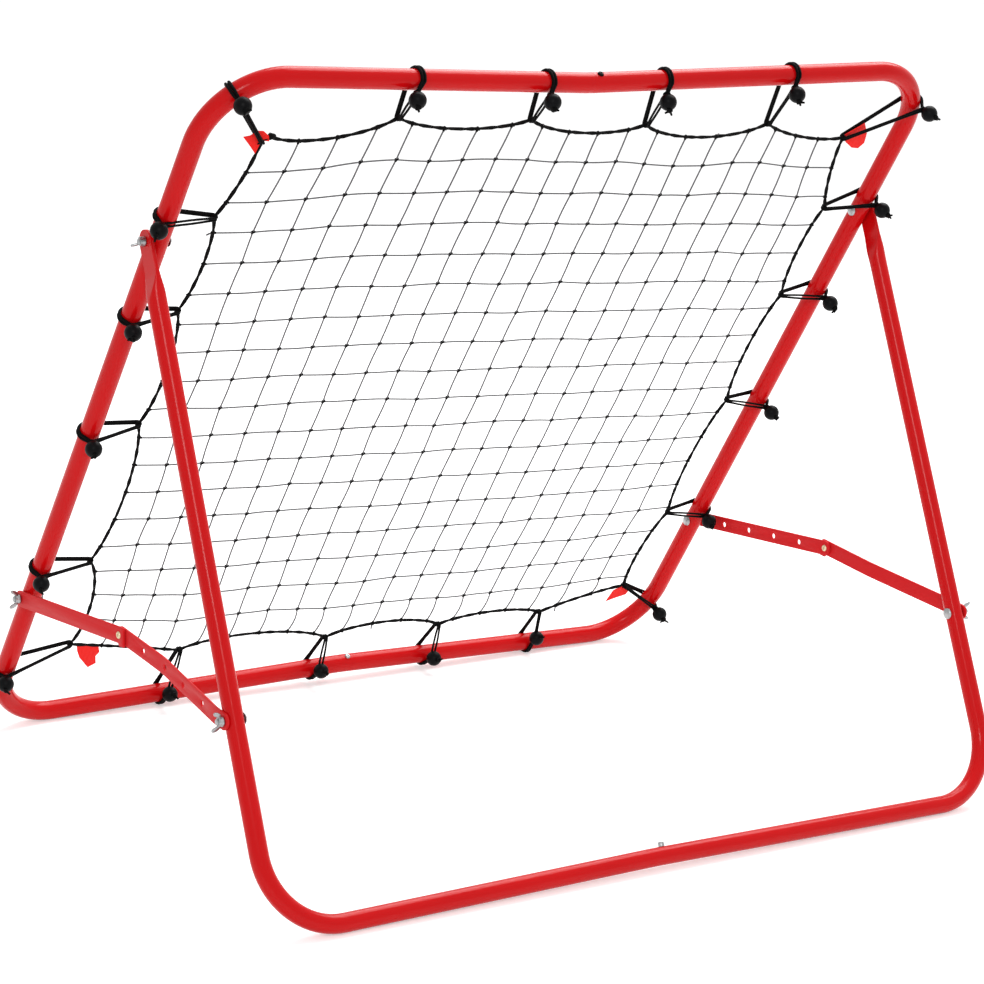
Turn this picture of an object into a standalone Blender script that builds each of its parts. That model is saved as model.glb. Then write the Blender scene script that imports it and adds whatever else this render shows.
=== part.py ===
"""A folding ball rebounder, standing ready for use.

A leaning net frame and a rear support frame turn on two pivot bolts. Each side has a brace of two
straps, riveted at the elbow and held by wing nuts. The net is tied into a border rope, which
twenty elastic ball ties pull towards the tube.

Metres, +Z up. The struck face looks towards -Y and the support stands at +Y. The origin is on the
floor under the middle of the whole object. Left is +X, as seen from behind the support.
"""

import math

import bmesh
import bpy
from mathutils import Matrix, Vector

# Clearances
GAP = 0.0003              # between pieces that touch on the real object
CORD_GAP = 0.0002         # between an elastic cord and what it runs round

# Net frame: two bent halves that plug together in the top bar and in the bottom bar
NET_HALF_WIDTH = 0.469    # tube centre line to the middle plane
NET_LENGTH = 0.916        # bottom bar to top bar, centre lines, along the slope
NET_LEAN = math.radians(28.5)
NET_TUBE_RADIUS = 0.011
TOP_BAR_BOW = 0.014       # how far the bar is bent inwards at its joint
BOTTOM_BAR_BOW = 0.013
TOP_SEAM_X = 0.015
BOTTOM_SEAM_X = 0.0
FOOT_LENGTH = 0.070       # stretch of the bottom bar next to each bend that is clear of ties

# Support frame: two bent halves, with flattened upper ends
SUPPORT_LENGTH = 0.702    # pivot to bottom bar, centre lines
SUPPORT_TUBE_RADIUS = 0.010
SUPPORT_BAR_BOW = 0.005
SUPPORT_SEAM_X = 0.010
SPADE_THICKNESS = 0.004
SPADE_HALF_WIDTH = 0.012
SPADE_LENGTH = 0.030      # flat stretch below the pivot bolt
SPADE_TAPER = 0.036       # stretch in which the tube goes from flat to round

# What both frames share
BEND_RADIUS = 0.080
BEND_STEPS = 6
TUBE_WALL = 0.0012
TUBE_SIDES = 12
BORE_SIDES = 8
PLUG_LENGTH = 0.045       # how far one half reaches into the other
PLUG_RADIUS = 0.0089
SUPPORT_PLUG_RADIUS = 0.0079
NECK_LENGTH = 0.003       # stretch in which the bore narrows towards the plug
COLLAR_LENGTH = 0.006     # straight stretch on each side of a seam, square to it

# Places along the frames
PIVOT_HEIGHT = 0.710      # from the bottom bar's centre line, along the net frame
BRACE_HEIGHT_NET = 0.200
BRACE_HEIGHT_SUPPORT = 0.215

# Brace straps
STRAP_WIDTH = 0.018
STRAP_THICKNESS = 0.0025
ELBOW_RISE = 0.021            # how far the elbow stands above the line between the bolts
STRAP_HOLE_PITCH = 0.048      # adjusting holes; the rivet is one pitch past the last
STRAP_SET_START = 0.016       # the sideways set of a strap starts and ends here
STRAP_SET_END = 0.150
STRAP_HEEL = 0.010            # how far the plain strap reaches past its rivet
STOP_LENGTH = 0.012
STOP_DEPTH = 0.003
HEEL_CHAMFER = 0.003

# Fasteners
BOLT_RADIUS = 0.003
BOLT_HEAD_RADIUS = 0.0065
BOLT_HEAD_HEIGHT = 0.0033
BOLT_PROUD = 0.0018           # thread that shows past the wing nut
BOLT_SIDES = 12
NUT_HEIGHT = 0.0055
NUT_FOOT_RADIUS = 0.0052
NUT_TOP_RADIUS = 0.0042
WING_SPAN = 0.011             # from the axis to a wing's tip
WING_HEIGHT = 0.011
WING_THICKNESS = 0.002
PIVOT_WINGS = math.radians(35)    # how far each wing nut is turned at rest, against the strap
NET_WINGS = math.radians(80)      # that it clamps, or against Y at a pivot
LEG_WINGS = math.radians(86)
RIVET_RADIUS = 0.0025
RIVET_HEAD_RADIUS = 0.004
RIVET_HEAD_HEIGHT = 0.0015
SCREW_RADIUS = 0.0019
SCREW_HEAD_RADIUS = 0.0034
SCREW_HEAD_HEIGHT = 0.0022
SCREW_REACH = 0.006           # from the tube's surface to the screw's tip
SCREW_OFFSET = 0.010          # from the seam to the screw

# Net, rope and corner tabs
ROPE_RADIUS = 0.0018
ROPE_HANG_POWER = 0.7         # 1 hangs as a parabola, less is steeper next to the ties
STRING_WIDTH = 0.0018
STRING_THICKNESS = 0.0016
NET_CELLS = 17                # each way
TAB_THICKNESS = 0.001

# Elastic ties
TIE_WIDTH = 0.0044            # two strands side by side
TIE_THICKNESS = 0.0016
WRAP_STEP = math.radians(20)      # between the loop's points round the tube, and round the rope
HOOK_STEP = math.radians(45)
BALL_RADIUS = 0.0095

# The net's four corners in the net plane, as (x, height up the slope)
TOP_LEFT = (NET_HALF_WIDTH - 0.0769, NET_LENGTH - 0.082)
TOP_RIGHT = (-NET_HALF_WIDTH + 0.0839, NET_LENGTH - 0.0951)
BOTTOM_LEFT = (NET_HALF_WIDTH - 0.0715, 0.1133)
BOTTOM_RIGHT = (-NET_HALF_WIDTH + 0.0603, 0.0899)

# The side ties next to the pivots start this share of the way from the pivot to the corner
LEFT_TIE_RISE = 0.2266
RIGHT_TIE_RISE = 0.0613

# The rope's tie points, and the net's cell that each of them falls in. Each keeps its distance
# from the tube that it is tied to, and on the sides from the bolts that it has to clear. Between
# two points the rope hangs inwards by the matching figure.
TOP_TIES = [
    TOP_LEFT,
    (0.2388, NET_LENGTH - 0.0544),
    (0.0696, NET_LENGTH - 0.0602),
    (-0.0875, NET_LENGTH - 0.07),
    (-0.2603, NET_LENGTH - 0.0721),
    TOP_RIGHT,
]
TOP_CELLS = [0, 3.5, 7.5, 10.5, 14.5, NET_CELLS]
TOP_HANG = [0.011, 0.0145, 0.0157, 0.0195, 0.010]
BOTTOM_TIES = [BOTTOM_LEFT, (0.2434, 0.0777), (0.038, 0.0648),
               (-0.1289, 0.0608), (-0.285, 0.0588), BOTTOM_RIGHT]
BOTTOM_CELLS = [0, 3.5, 7.5, 11.5, 14.5, NET_CELLS]
BOTTOM_HANG = [0.001, 0.019, 0.0175, 0.013, 0.0045]
LEFT_TIES = [
    TOP_LEFT,
    (NET_HALF_WIDTH - 0.0544, PIVOT_HEIGHT + LEFT_TIE_RISE * (TOP_LEFT[1] - PIVOT_HEIGHT)),
    (NET_HALF_WIDTH - 0.0518, PIVOT_HEIGHT - 0.0961),
    (NET_HALF_WIDTH - 0.0549, 0.4545),
    (NET_HALF_WIDTH - 0.0578, BRACE_HEIGHT_NET + 0.0488),
    BOTTOM_LEFT,
]
LEFT_HANG = [0.0055, 0.010, 0.013, 0.0155, 0.016]
RIGHT_TIES = [
    TOP_RIGHT,
    (-NET_HALF_WIDTH + 0.0557, PIVOT_HEIGHT + RIGHT_TIE_RISE * (TOP_RIGHT[1] - PIVOT_HEIGHT)),
    (-NET_HALF_WIDTH + 0.0516, PIVOT_HEIGHT - 0.1269),
    (-NET_HALF_WIDTH + 0.05, 0.4129),
    (-NET_HALF_WIDTH + 0.0503, BRACE_HEIGHT_NET + 0.0211),
    BOTTOM_RIGHT,
]
RIGHT_HANG = [0.006, 0.010, 0.012, 0.0125, 0.0105]
SIDE_CELLS = [0, 2.5, 5.5, 9.5, 13.5, NET_CELLS]

# Each ball's centre, as (x, height up the slope, depth behind the net plane)
BALLS = {
    "tie_corner_top_left": (NET_HALF_WIDTH - 0.0218, NET_LENGTH - 0.0171, 0.0262),
    "tie_top_1": (0.246, NET_LENGTH - 0.0133, 0.0262),
    "tie_top_2": (0.076, NET_LENGTH - 0.0184, 0.0262),
    "tie_top_3": (-0.0785, NET_LENGTH - 0.0216, 0.0252),
    "tie_top_4": (-0.2539, NET_LENGTH - 0.0132, 0.0262),
    "tie_corner_top_right": (-NET_HALF_WIDTH - 0.0001, NET_LENGTH - 0.0438, 0.0257),
    "tie_right_1": (-NET_HALF_WIDTH - 0.0072, PIVOT_HEIGHT + 0.0205, 0.0262),
    "tie_right_2": (-NET_HALF_WIDTH - 0.0037, PIVOT_HEIGHT - 0.1223, 0.0267),
    "tie_right_3": (-NET_HALF_WIDTH - 0.0039, 0.41, 0.0267),
    "tie_right_4": (-NET_HALF_WIDTH + 0.0028, BRACE_HEIGHT_NET + 0.0231, 0.0267),
    "tie_corner_bottom_right": (-NET_HALF_WIDTH + 0.0026, 0.0548, 0.0272),
    "tie_bottom_4": (-0.287, 0.0269, 0.0156),
    "tie_bottom_3": (-0.1258, 0.0242, 0.0226),
    "tie_bottom_2": (0.0406, 0.0288, 0.0211),
    "tie_bottom_1": (0.2478, 0.0244, 0.0201),
    "tie_corner_bottom_left": (NET_HALF_WIDTH + 0.0104, 0.0879, 0.0247),
    "tie_left_4": (NET_HALF_WIDTH + 0.0107, BRACE_HEIGHT_NET + 0.047, 0.0247),
    "tie_left_3": (NET_HALF_WIDTH + 0.0069, 0.449, 0.0262),
    "tie_left_2": (NET_HALF_WIDTH + 0.0088, PIVOT_HEIGHT - 0.1002, 0.0257),
    "tie_left_1": (NET_HALF_WIDTH + 0.0176, PIVOT_HEIGHT + 0.0304, 0.0201),
}

# Corner tabs: outlines outside the rope, measured from the corner's tie point
TABS = {
    "corner_tab_top_left": [(0.0185, 0.004), (0.0165, 0.0065), (0.009, 0.008), (0.0085, 0.0125),
                            (0.0015, 0.0125), (-0.0055, 0.008)],
    "corner_tab_top_right": [(-0.010, 0.0105), (-0.0229, 0.0198), (-0.0333, 0.0056),
                             (-0.0366, -0.0087), (-0.0318, -0.0171), (-0.0178, -0.0165)],
    "corner_tab_bottom_right": [(-0.0128, -0.0096), (-0.0113, -0.0190), (0.0202, -0.0242),
                                (0.0151, -0.0062)],
    "corner_tab_bottom_left": [(-0.0412, -0.0125), (-0.0430, -0.0240), (-0.0400, -0.0290),
                               (-0.0442, -0.0402), (-0.0360, -0.0435), (-0.0250, -0.0300),
                               (-0.0167, -0.0190)],
}
BOTTOM_LEFT_TAB_SHARE = 0.60    # this tab is sewn on part of the way to the net's next string

# Colours, as linear red, green and blue
RED = (0.60, 0.012, 0.018, 1.0)
STRAP_RED = (0.52, 0.030, 0.045, 1.0)
ZINC = (0.62, 0.62, 0.60, 1.0)
BLACK = (0.008, 0.008, 0.009, 1.0)
TAB_RED = (0.85, 0.020, 0.015, 1.0)


def material(name, colour, roughness, metallic=0.0):
    made = bpy.data.materials.new(name)
    made.use_nodes = True
    shader = made.node_tree.nodes["Principled BSDF"]
    shader.inputs["Base Color"].default_value = colour
    shader.inputs["Roughness"].default_value = roughness
    shader.inputs["Metallic"].default_value = metallic
    return made


def clear_scene():
    for old in list(bpy.data.objects):
        bpy.data.objects.remove(old)


def smooth(mesh, degrees=35):
    mesh.shade_smooth()
    mesh.set_sharp_from_angle(angle=math.radians(degrees))


def add(name, data, parent, finish=None):
    """A new object under its parent: a part when it has a finish, a cutter or guide when not."""
    made = bpy.data.objects.new(name, data)
    made.parent = parent
    if finish:
        parts.objects.link(made)
        data.materials.append(finish)
    else:
        cutters.objects.link(made)
        made.hide_render = True
        made.display_type = "WIRE"
    return made


def add_empty(name, matrix):
    made = bpy.data.objects.new(name, None)
    made.empty_display_size = 0.03
    made.matrix_world = matrix
    cutters.objects.link(made)
    return made


def boolean(target, other, operation="DIFFERENCE"):
    step = target.modifiers.new(operation.title(), "BOOLEAN")
    step.operation = operation
    step.object = other


def taken(curve_object):
    """The mesh of a curve object, with its caps welded on. The curve is removed."""
    bpy.context.view_layer.update()
    graph = bpy.context.evaluated_depsgraph_get()
    mesh = bpy.data.meshes.new_from_object(curve_object.evaluated_get(graph))
    shape = bmesh.new()
    shape.from_mesh(mesh)
    bmesh.ops.remove_doubles(shape, verts=shape.verts, dist=1e-6)
    shape.to_mesh(mesh)
    shape.free()
    bpy.data.objects.remove(curve_object)
    return mesh


def tube_mesh(name, stations, sides, turn=0.0):
    """A tube through (point, radius) stations, its section turned about its centre line."""
    curve = bpy.data.curves.new(name, "CURVE")
    curve.dimensions = "3D"
    curve.twist_mode = "Z_UP"
    curve.bevel_depth = stations[0][1]
    curve.bevel_resolution = (sides - 4) // 2
    curve.use_fill_caps = True
    line = curve.splines.new("POLY")
    line.points.add(len(stations) - 1)
    for point, (place, radius) in zip(line.points, stations):
        point.co = (*place, 1.0)
        point.radius = radius / stations[0][1]
        point.tilt = turn
    return taken(add(name, curve, None))


def plate_mesh(name, outline, thickness):
    """A flat outline in the XY plane, given its thickness evenly about Z = 0."""
    curve = bpy.data.curves.new(name, "CURVE")
    curve.dimensions = "2D"
    curve.fill_mode = "BOTH"
    curve.extrude = thickness / 2
    line = curve.splines.new("POLY")
    line.points.add(len(outline) - 1)
    for point, (x, y) in zip(line.points, outline):
        point.co = (x, y, 0.0, 1.0)
    line.use_cyclic_u = True
    return taken(add(name, curve, None))


def rod_mesh(name, radius, length, sides=BORE_SIDES, top_radius=None):
    """A cylinder or cone about Z, centred on its origin."""
    mesh = bpy.data.meshes.new(name)
    shape = bmesh.new()
    bmesh.ops.create_cone(shape, cap_ends=True, segments=sides, radius1=radius,
                          radius2=top_radius or radius, depth=length,
                          matrix=Matrix.Rotation(math.pi / sides, 4, "Z"))
    shape.to_mesh(mesh)
    shape.free()
    return mesh


def hole_mesh(shank_radius, length, sides=BORE_SIDES):
    """A cutter whose flats clear a shank of this radius by the gap."""
    return rod_mesh("hole", (shank_radius + GAP) / math.cos(math.pi / sides), length, sides)


def turned(name, profile, parent, finish):
    """A solid of revolution about Z. The profile holds (radius, z), from the top down."""
    mesh = bpy.data.meshes.new(name)
    shape = bmesh.new()
    corners = [shape.verts.new((radius, 0.0, z)) for radius, z in profile]
    for first, second in zip(corners, corners[1:]):
        shape.edges.new((first, second))
    shape.to_mesh(mesh)
    shape.free()
    made = add(name, mesh, parent, finish)
    spin = made.modifiers.new("Screw", "SCREW")
    spin.steps = BOLT_SIDES
    spin.render_steps = BOLT_SIDES
    spin.use_merge_vertices = True
    spin.merge_threshold = 1e-5
    return made


def bend(before, corner, after, steps=BEND_STEPS):
    """Points of the arc that rounds one corner of a path."""
    first = (before - corner).normalized()
    second = (after - corner).normalized()
    half = first.angle(second) / 2
    centre = corner + (first + second).normalized() * BEND_RADIUS / math.sin(half)
    start = corner + first * BEND_RADIUS / math.tan(half) - centre
    turn = math.pi - 2 * half
    axis = start.cross(corner - centre)
    return [centre + Matrix.Rotation(turn * i / steps, 3, axis) @ start for i in range(steps + 1)]


def moved(start, towards, distance):
    return start + (towards - start).normalized() * distance


def net_half_line(side):
    """Corner-rounded centre line of one net half, in the net plane, from top seam to bottom seam."""
    collar = Vector((side * COLLAR_LENGTH, 0.0, 0.0))
    top = Vector((TOP_SEAM_X, NET_LENGTH - TOP_BAR_BOW, 0.0))
    top_corner = Vector((side * NET_HALF_WIDTH, NET_LENGTH, 0.0))
    bottom_corner = Vector((side * NET_HALF_WIDTH, 0.0, 0.0))
    bottom = Vector((BOTTOM_SEAM_X, BOTTOM_BAR_BOW, 0.0))
    lower_bend = bend(top_corner, bottom_corner, bottom + collar)
    foot = moved(lower_bend[-1], bottom + collar, FOOT_LENGTH)
    return [top, top + collar, *bend(top + collar, top_corner, bottom_corner),
            *lower_bend, foot, bottom + collar, bottom]


def halves_at_seam(line, other_line, plug_radius, radius, plugs):
    """The stations at one end of a half: a plug that enters the other half, or a socket's mouth."""
    seam = line[0]
    if not plugs:
        return [(seam, radius)], [(moved(seam, line[1], -GAP), radius - TUBE_WALL)]
    root = moved(seam, line[1], GAP)
    shoulder = moved(seam, line[1], 2 * GAP)
    neck = moved(seam, line[1], NECK_LENGTH)
    turn_in = other_line[1]
    tip = moved(turn_in, other_line[2], PLUG_LENGTH)
    past = moved(turn_in, other_line[2], PLUG_LENGTH + NECK_LENGTH)
    outside = [(tip, plug_radius), (turn_in, plug_radius), (root, plug_radius), (shoulder, radius)]
    inside = [(past, plug_radius - TUBE_WALL), (turn_in, plug_radius - TUBE_WALL),
              (root, plug_radius - TUBE_WALL), (neck, radius - TUBE_WALL)]
    return outside, inside


def make_net_frame():
    """Two halves of hollow tube. The left half's plugs enter the right half at both seams."""
    turn = NET_LEAN - math.pi / TUBE_SIDES    # lays a facet of the bottom bar flat on the floor
    meshes = []
    for side, word in SIDES.items():
        line = net_half_line(side)
        other = net_half_line(-side)
        head, head_bore = halves_at_seam(line, other, PLUG_RADIUS, NET_TUBE_RADIUS, side > 0)
        foot, foot_bore = halves_at_seam(line[::-1], other[::-1], PLUG_RADIUS, NET_TUBE_RADIUS,
                                         side > 0)
        middle = line[1:-1]
        outside = head + [(p, NET_TUBE_RADIUS) for p in middle] + foot[::-1]
        inside = head_bore + [(p, NET_TUBE_RADIUS - TUBE_WALL) for p in middle] + foot_bore[::-1]
        name = f"net_frame_{word}"
        mesh = tube_mesh(name, outside, TUBE_SIDES, -side * turn)
        half = add(name, mesh, net_plane, red)
        boolean(half, add(f"{name}_bore", tube_mesh("bore", inside, BORE_SIDES), net_plane))
        for height in (PIVOT_HEIGHT, BRACE_HEIGHT_NET):
            hole = add(f"{name}_hole", hole_mesh(BOLT_RADIUS, 4 * NET_TUBE_RADIUS), net_plane)
            hole.location = (side * NET_HALF_WIDTH, height, 0.0)
            hole.rotation_euler.y = math.pi / 2
            boolean(half, hole)
        for screw in (net_top_screw, net_bottom_screw):
            boolean(half, screw_hole(name, screw, NET_TUBE_RADIUS))
        smooth(mesh)
        meshes.append(mesh)
    return meshes


def screw_hole(name, place, radius):
    """A cutter for a joint screw, through the near wall of the tube and of the plug in it."""
    seat, up, parent = place
    hole = add(f"{name}_screw_hole", hole_mesh(SCREW_RADIUS, 2 * SCREW_REACH), parent)
    hole.location = seat
    hole.rotation_euler = up.to_track_quat("Z", "Y").to_euler()
    return hole


def support_half_line(side):
    """Centre line of one support half, in the support plane, from the tip to the seam."""
    tip = Vector((side * SUPPORT_HALF_WIDTH, SPADE_HALF_WIDTH, 0.0))
    corner = Vector((side * SUPPORT_HALF_WIDTH, -SUPPORT_LENGTH, 0.0))
    seam = Vector((SUPPORT_SEAM_X, SUPPORT_BAR_BOW - SUPPORT_LENGTH, 0.0))
    collar = seam + Vector((side * COLLAR_LENGTH, 0.0, 0.0))
    return [tip, *bend(tip, corner, collar), collar, seam]


def spade_stations(side):
    """Points along a leg's upper end: the rounded tip, the flat stretch and the taper."""
    heights = [SPADE_HALF_WIDTH * math.sin(math.radians(a)) for a in (80, 55, 30, 0)]
    heights.append(-SPADE_LENGTH)
    heights += [-SPADE_LENGTH - SPADE_TAPER * i / 4 for i in range(1, 5)]
    return [Vector((side * SUPPORT_HALF_WIDTH, y, 0.0)) for y in heights]


def press_flat(mesh, side, radius, wall):
    """Flattens the upper end of a leg, as a press does, leaving the walls this thick inside."""
    for vertex in mesh.vertices:
        share = (vertex.co.y + SPADE_LENGTH + SPADE_TAPER) / SPADE_TAPER
        share = min(1.0, max(0.0, share))
        share = share * share * (3 - 2 * share)
        half = radius + (SPADE_THICKNESS / 2 - wall - radius) * share
        centre = side * SUPPORT_HALF_WIDTH
        if share > 0.0:
            vertex.co.x = centre + min(half, max(-half, vertex.co.x - centre))
        width = radius + (SPADE_HALF_WIDTH - wall - radius) * share
        if vertex.co.y > 0.0:
            width *= math.sqrt(max(0.0, 1 - (vertex.co.y / SPADE_HALF_WIDTH) ** 2))
        vertex.co.z *= width / radius


def make_support():
    """Two hollow halves, pressed flat at the pivots. The left half's plug enters the right half."""
    for side, word in SIDES.items():
        line = support_half_line(side)
        other = support_half_line(-side)
        foot, foot_bore = halves_at_seam(line[::-1], other[::-1], SUPPORT_PLUG_RADIUS,
                                         SUPPORT_TUBE_RADIUS, side > 0)
        middle = line[1:-1]
        outside = [(p, SUPPORT_TUBE_RADIUS) for p in spade_stations(side) + middle] + foot[::-1]
        bore_radius = SUPPORT_TUBE_RADIUS - TUBE_WALL
        inside = [(p, bore_radius) for p in spade_stations(side)[6:] + middle] + foot_bore[::-1]
        name = f"support_{word}"
        mesh = tube_mesh(name, outside, TUBE_SIDES)
        press_flat(mesh, side, SUPPORT_TUBE_RADIUS, 0.0)
        half = add(name, mesh, support_pivot, red)
        bore = tube_mesh("bore", inside, BORE_SIDES)
        press_flat(bore, side, bore_radius, TUBE_WALL)
        boolean(half, add(f"{name}_bore", bore, support_pivot))
        for height in (0.0, BRACE_HEIGHT_SUPPORT - SUPPORT_LENGTH):
            hole = add(f"{name}_hole", hole_mesh(BOLT_RADIUS, 4 * SUPPORT_TUBE_RADIUS),
                       support_pivot)
            hole.location = (side * SUPPORT_HALF_WIDTH, height, 0.0)
            hole.rotation_euler.y = math.pi / 2
            boolean(half, hole)
        boolean(half, screw_hole(name, support_screw, SUPPORT_TUBE_RADIUS))
        smooth(mesh)


def make_screw(name, place):
    """A pan-head screw that locks a tube joint. Its origin is on the tube's surface."""
    seat, up, parent = place
    under = GAP
    top = under + SCREW_HEAD_HEIGHT
    screw = turned(name, [(0.0, top), (0.6 * SCREW_HEAD_RADIUS, top),
                          (SCREW_HEAD_RADIUS, under + 0.5 * SCREW_HEAD_HEIGHT),
                          (SCREW_HEAD_RADIUS, under), (SCREW_RADIUS, under),
                          (SCREW_RADIUS, SCREW_RADIUS - SCREW_REACH), (0.0, -SCREW_REACH)],
                   parent, zinc)
    screw.location = seat
    screw.rotation_euler = up.to_track_quat("Z", "Y").to_euler()


def outward_frame(side, out, centre, direction):
    """Axes at a bolt: Z points out of the frame at this |x|, X along the given direction."""
    along = direction.normalized()
    z_axis = Vector((side, 0.0, 0.0))
    y_axis = z_axis.cross(along)
    turn = Matrix((along, y_axis, z_axis)).transposed().to_4x4()
    return Matrix.Translation((side * out, centre.y, centre.z)) @ turn


def make_bolt(name, frame, grip):
    """A dome-head bolt along Z. Its head seats on the inner side, at Z = 0 less the gap."""
    under = -GAP
    turned(name, [(0.0, grip + BOLT_PROUD), (BOLT_RADIUS, grip + BOLT_PROUD), (BOLT_RADIUS, under),
                  (BOLT_HEAD_RADIUS, under),
                  (0.8 * BOLT_HEAD_RADIUS, under - 0.6 * BOLT_HEAD_HEIGHT),
                  (0.45 * BOLT_HEAD_RADIUS, under - 0.92 * BOLT_HEAD_HEIGHT),
                  (0.0, under - BOLT_HEAD_HEIGHT)],
           add_empty(f"{name}_seat", frame), zinc)


def wing_nut_mesh():
    """One wing nut, with its foot at Z = 0 and its wings along X."""
    body = add("wing_nut_body", rod_mesh("wing_nut_body", NUT_FOOT_RADIUS, NUT_HEIGHT, BOLT_SIDES,
                                         NUT_TOP_RADIUS), None)
    body.data.transform(Matrix.Translation((0.0, 0.0, NUT_HEIGHT / 2)))
    half = [(0.0, 0.15 * WING_HEIGHT), (0.55 * WING_SPAN, 0.15 * WING_HEIGHT),
            (0.95 * WING_SPAN, 0.60 * WING_HEIGHT), (WING_SPAN, 0.85 * WING_HEIGHT),
            (0.85 * WING_SPAN, WING_HEIGHT), (0.62 * WING_SPAN, 0.88 * WING_HEIGHT),
            (0.36 * WING_SPAN, 0.5 * NUT_HEIGHT), (0.0, 0.5 * NUT_HEIGHT)]
    outline = half + [(-x, y) for x, y in half[-2:0:-1]]
    wings = add("wing_nut_wings", plate_mesh("wings", outline, WING_THICKNESS), None)
    wings.data.transform(Matrix.Rotation(math.pi / 2, 4, "X"))
    bore = add("wing_nut_bore", hole_mesh(BOLT_RADIUS, 4 * NUT_HEIGHT, BOLT_SIDES), None)
    boolean(body, wings, "UNION")
    boolean(body, bore)
    mesh = taken(body)
    bpy.data.objects.remove(wings)
    bpy.data.objects.remove(bore)
    smooth(mesh)
    return mesh


def make_wing_nut(name, frame, height, mesh, angle):
    """A wing nut whose foot is this far along the bolt."""
    nut = add(name, mesh, add_empty(f"{name}_axis", frame), None)
    cutters.objects.unlink(nut)
    parts.objects.link(nut)
    nut.hide_render = False
    nut.display_type = "TEXTURED"
    nut.location.z = height + GAP
    nut.rotation_euler.z = angle


def strap_outline(length, heel):
    """Plan of a strap from its bolt at x = 0 to its rivet. The lower edge is at -y."""
    half = STRAP_WIDTH / 2
    near = [(half * math.cos(a), half * math.sin(a))
            for a in (math.radians(90 + 22.5 * i) for i in range(9))]
    if not heel:
        far = [(length + half * math.cos(a), half * math.sin(a))
               for a in (math.radians(-90 + 22.5 * i) for i in range(9))]
        return near + far
    end = length + STRAP_HEEL
    start = end - STOP_LENGTH
    return near + [(start, -half), (start + STOP_DEPTH, -half - STOP_DEPTH),
                   (end - STOP_DEPTH / 2, -half - STOP_DEPTH), (end, -half - STOP_DEPTH / 2),
                   (end, half - HEEL_CHAMFER), (end - HEEL_CHAMFER, half)]


def make_strap(name, frame, length, heel, rise, holes):
    """A flat strap whose inner face is at Z = 0 by the bolt and at this rise by the rivet.

    The holes are (distance from the bolt, radius of the shank that passes).
    """
    end = length + STRAP_WIDTH
    path = [(-STRAP_WIDTH, 0.0), (STRAP_SET_START, 0.0), (STRAP_SET_END, rise), (end, rise)]
    if rise == 0.0:
        path = [path[0], path[-1]]
    side_view = path + [(x, z + STRAP_THICKNESS) for x, z in reversed(path)]
    mesh = plate_mesh(name, side_view, 2 * STRAP_WIDTH)
    mesh.transform(Matrix.Rotation(math.pi / 2, 4, "X"))
    hinge = add_empty(f"{name}_hinge", frame)
    strap = add(name, mesh, hinge, strap_red)
    plan = plate_mesh("plan", strap_outline(length, heel), 4 * STRAP_WIDTH)
    boolean(strap, add(f"{name}_plan", plan, hinge), "INTERSECT")
    for place, radius in holes:
        hole = add(f"{name}_hole", hole_mesh(radius, 4 * STRAP_WIDTH, BOLT_SIDES), hinge)
        hole.location.x = place
        boolean(strap, hole)
    return hinge


def make_rivet_half(name, hinge, length, face, way):
    """One end of the elbow rivet: a domed head on this face and a shank through the strap."""
    rivet = turned(name, [(0.0, RIVET_HEAD_HEIGHT), (0.55 * RIVET_HEAD_RADIUS, 0.85 * RIVET_HEAD_HEIGHT),
                          (RIVET_HEAD_RADIUS, 0.0), (RIVET_RADIUS, 0.0),
                          (RIVET_RADIUS, -STRAP_THICKNESS - GAP), (0.0, -STRAP_THICKNESS - GAP)],
                   hinge, zinc)
    rivet.location = (length, 0.0, face + way * GAP)
    if way < 0:
        rivet.rotation_euler.x = math.pi


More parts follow.
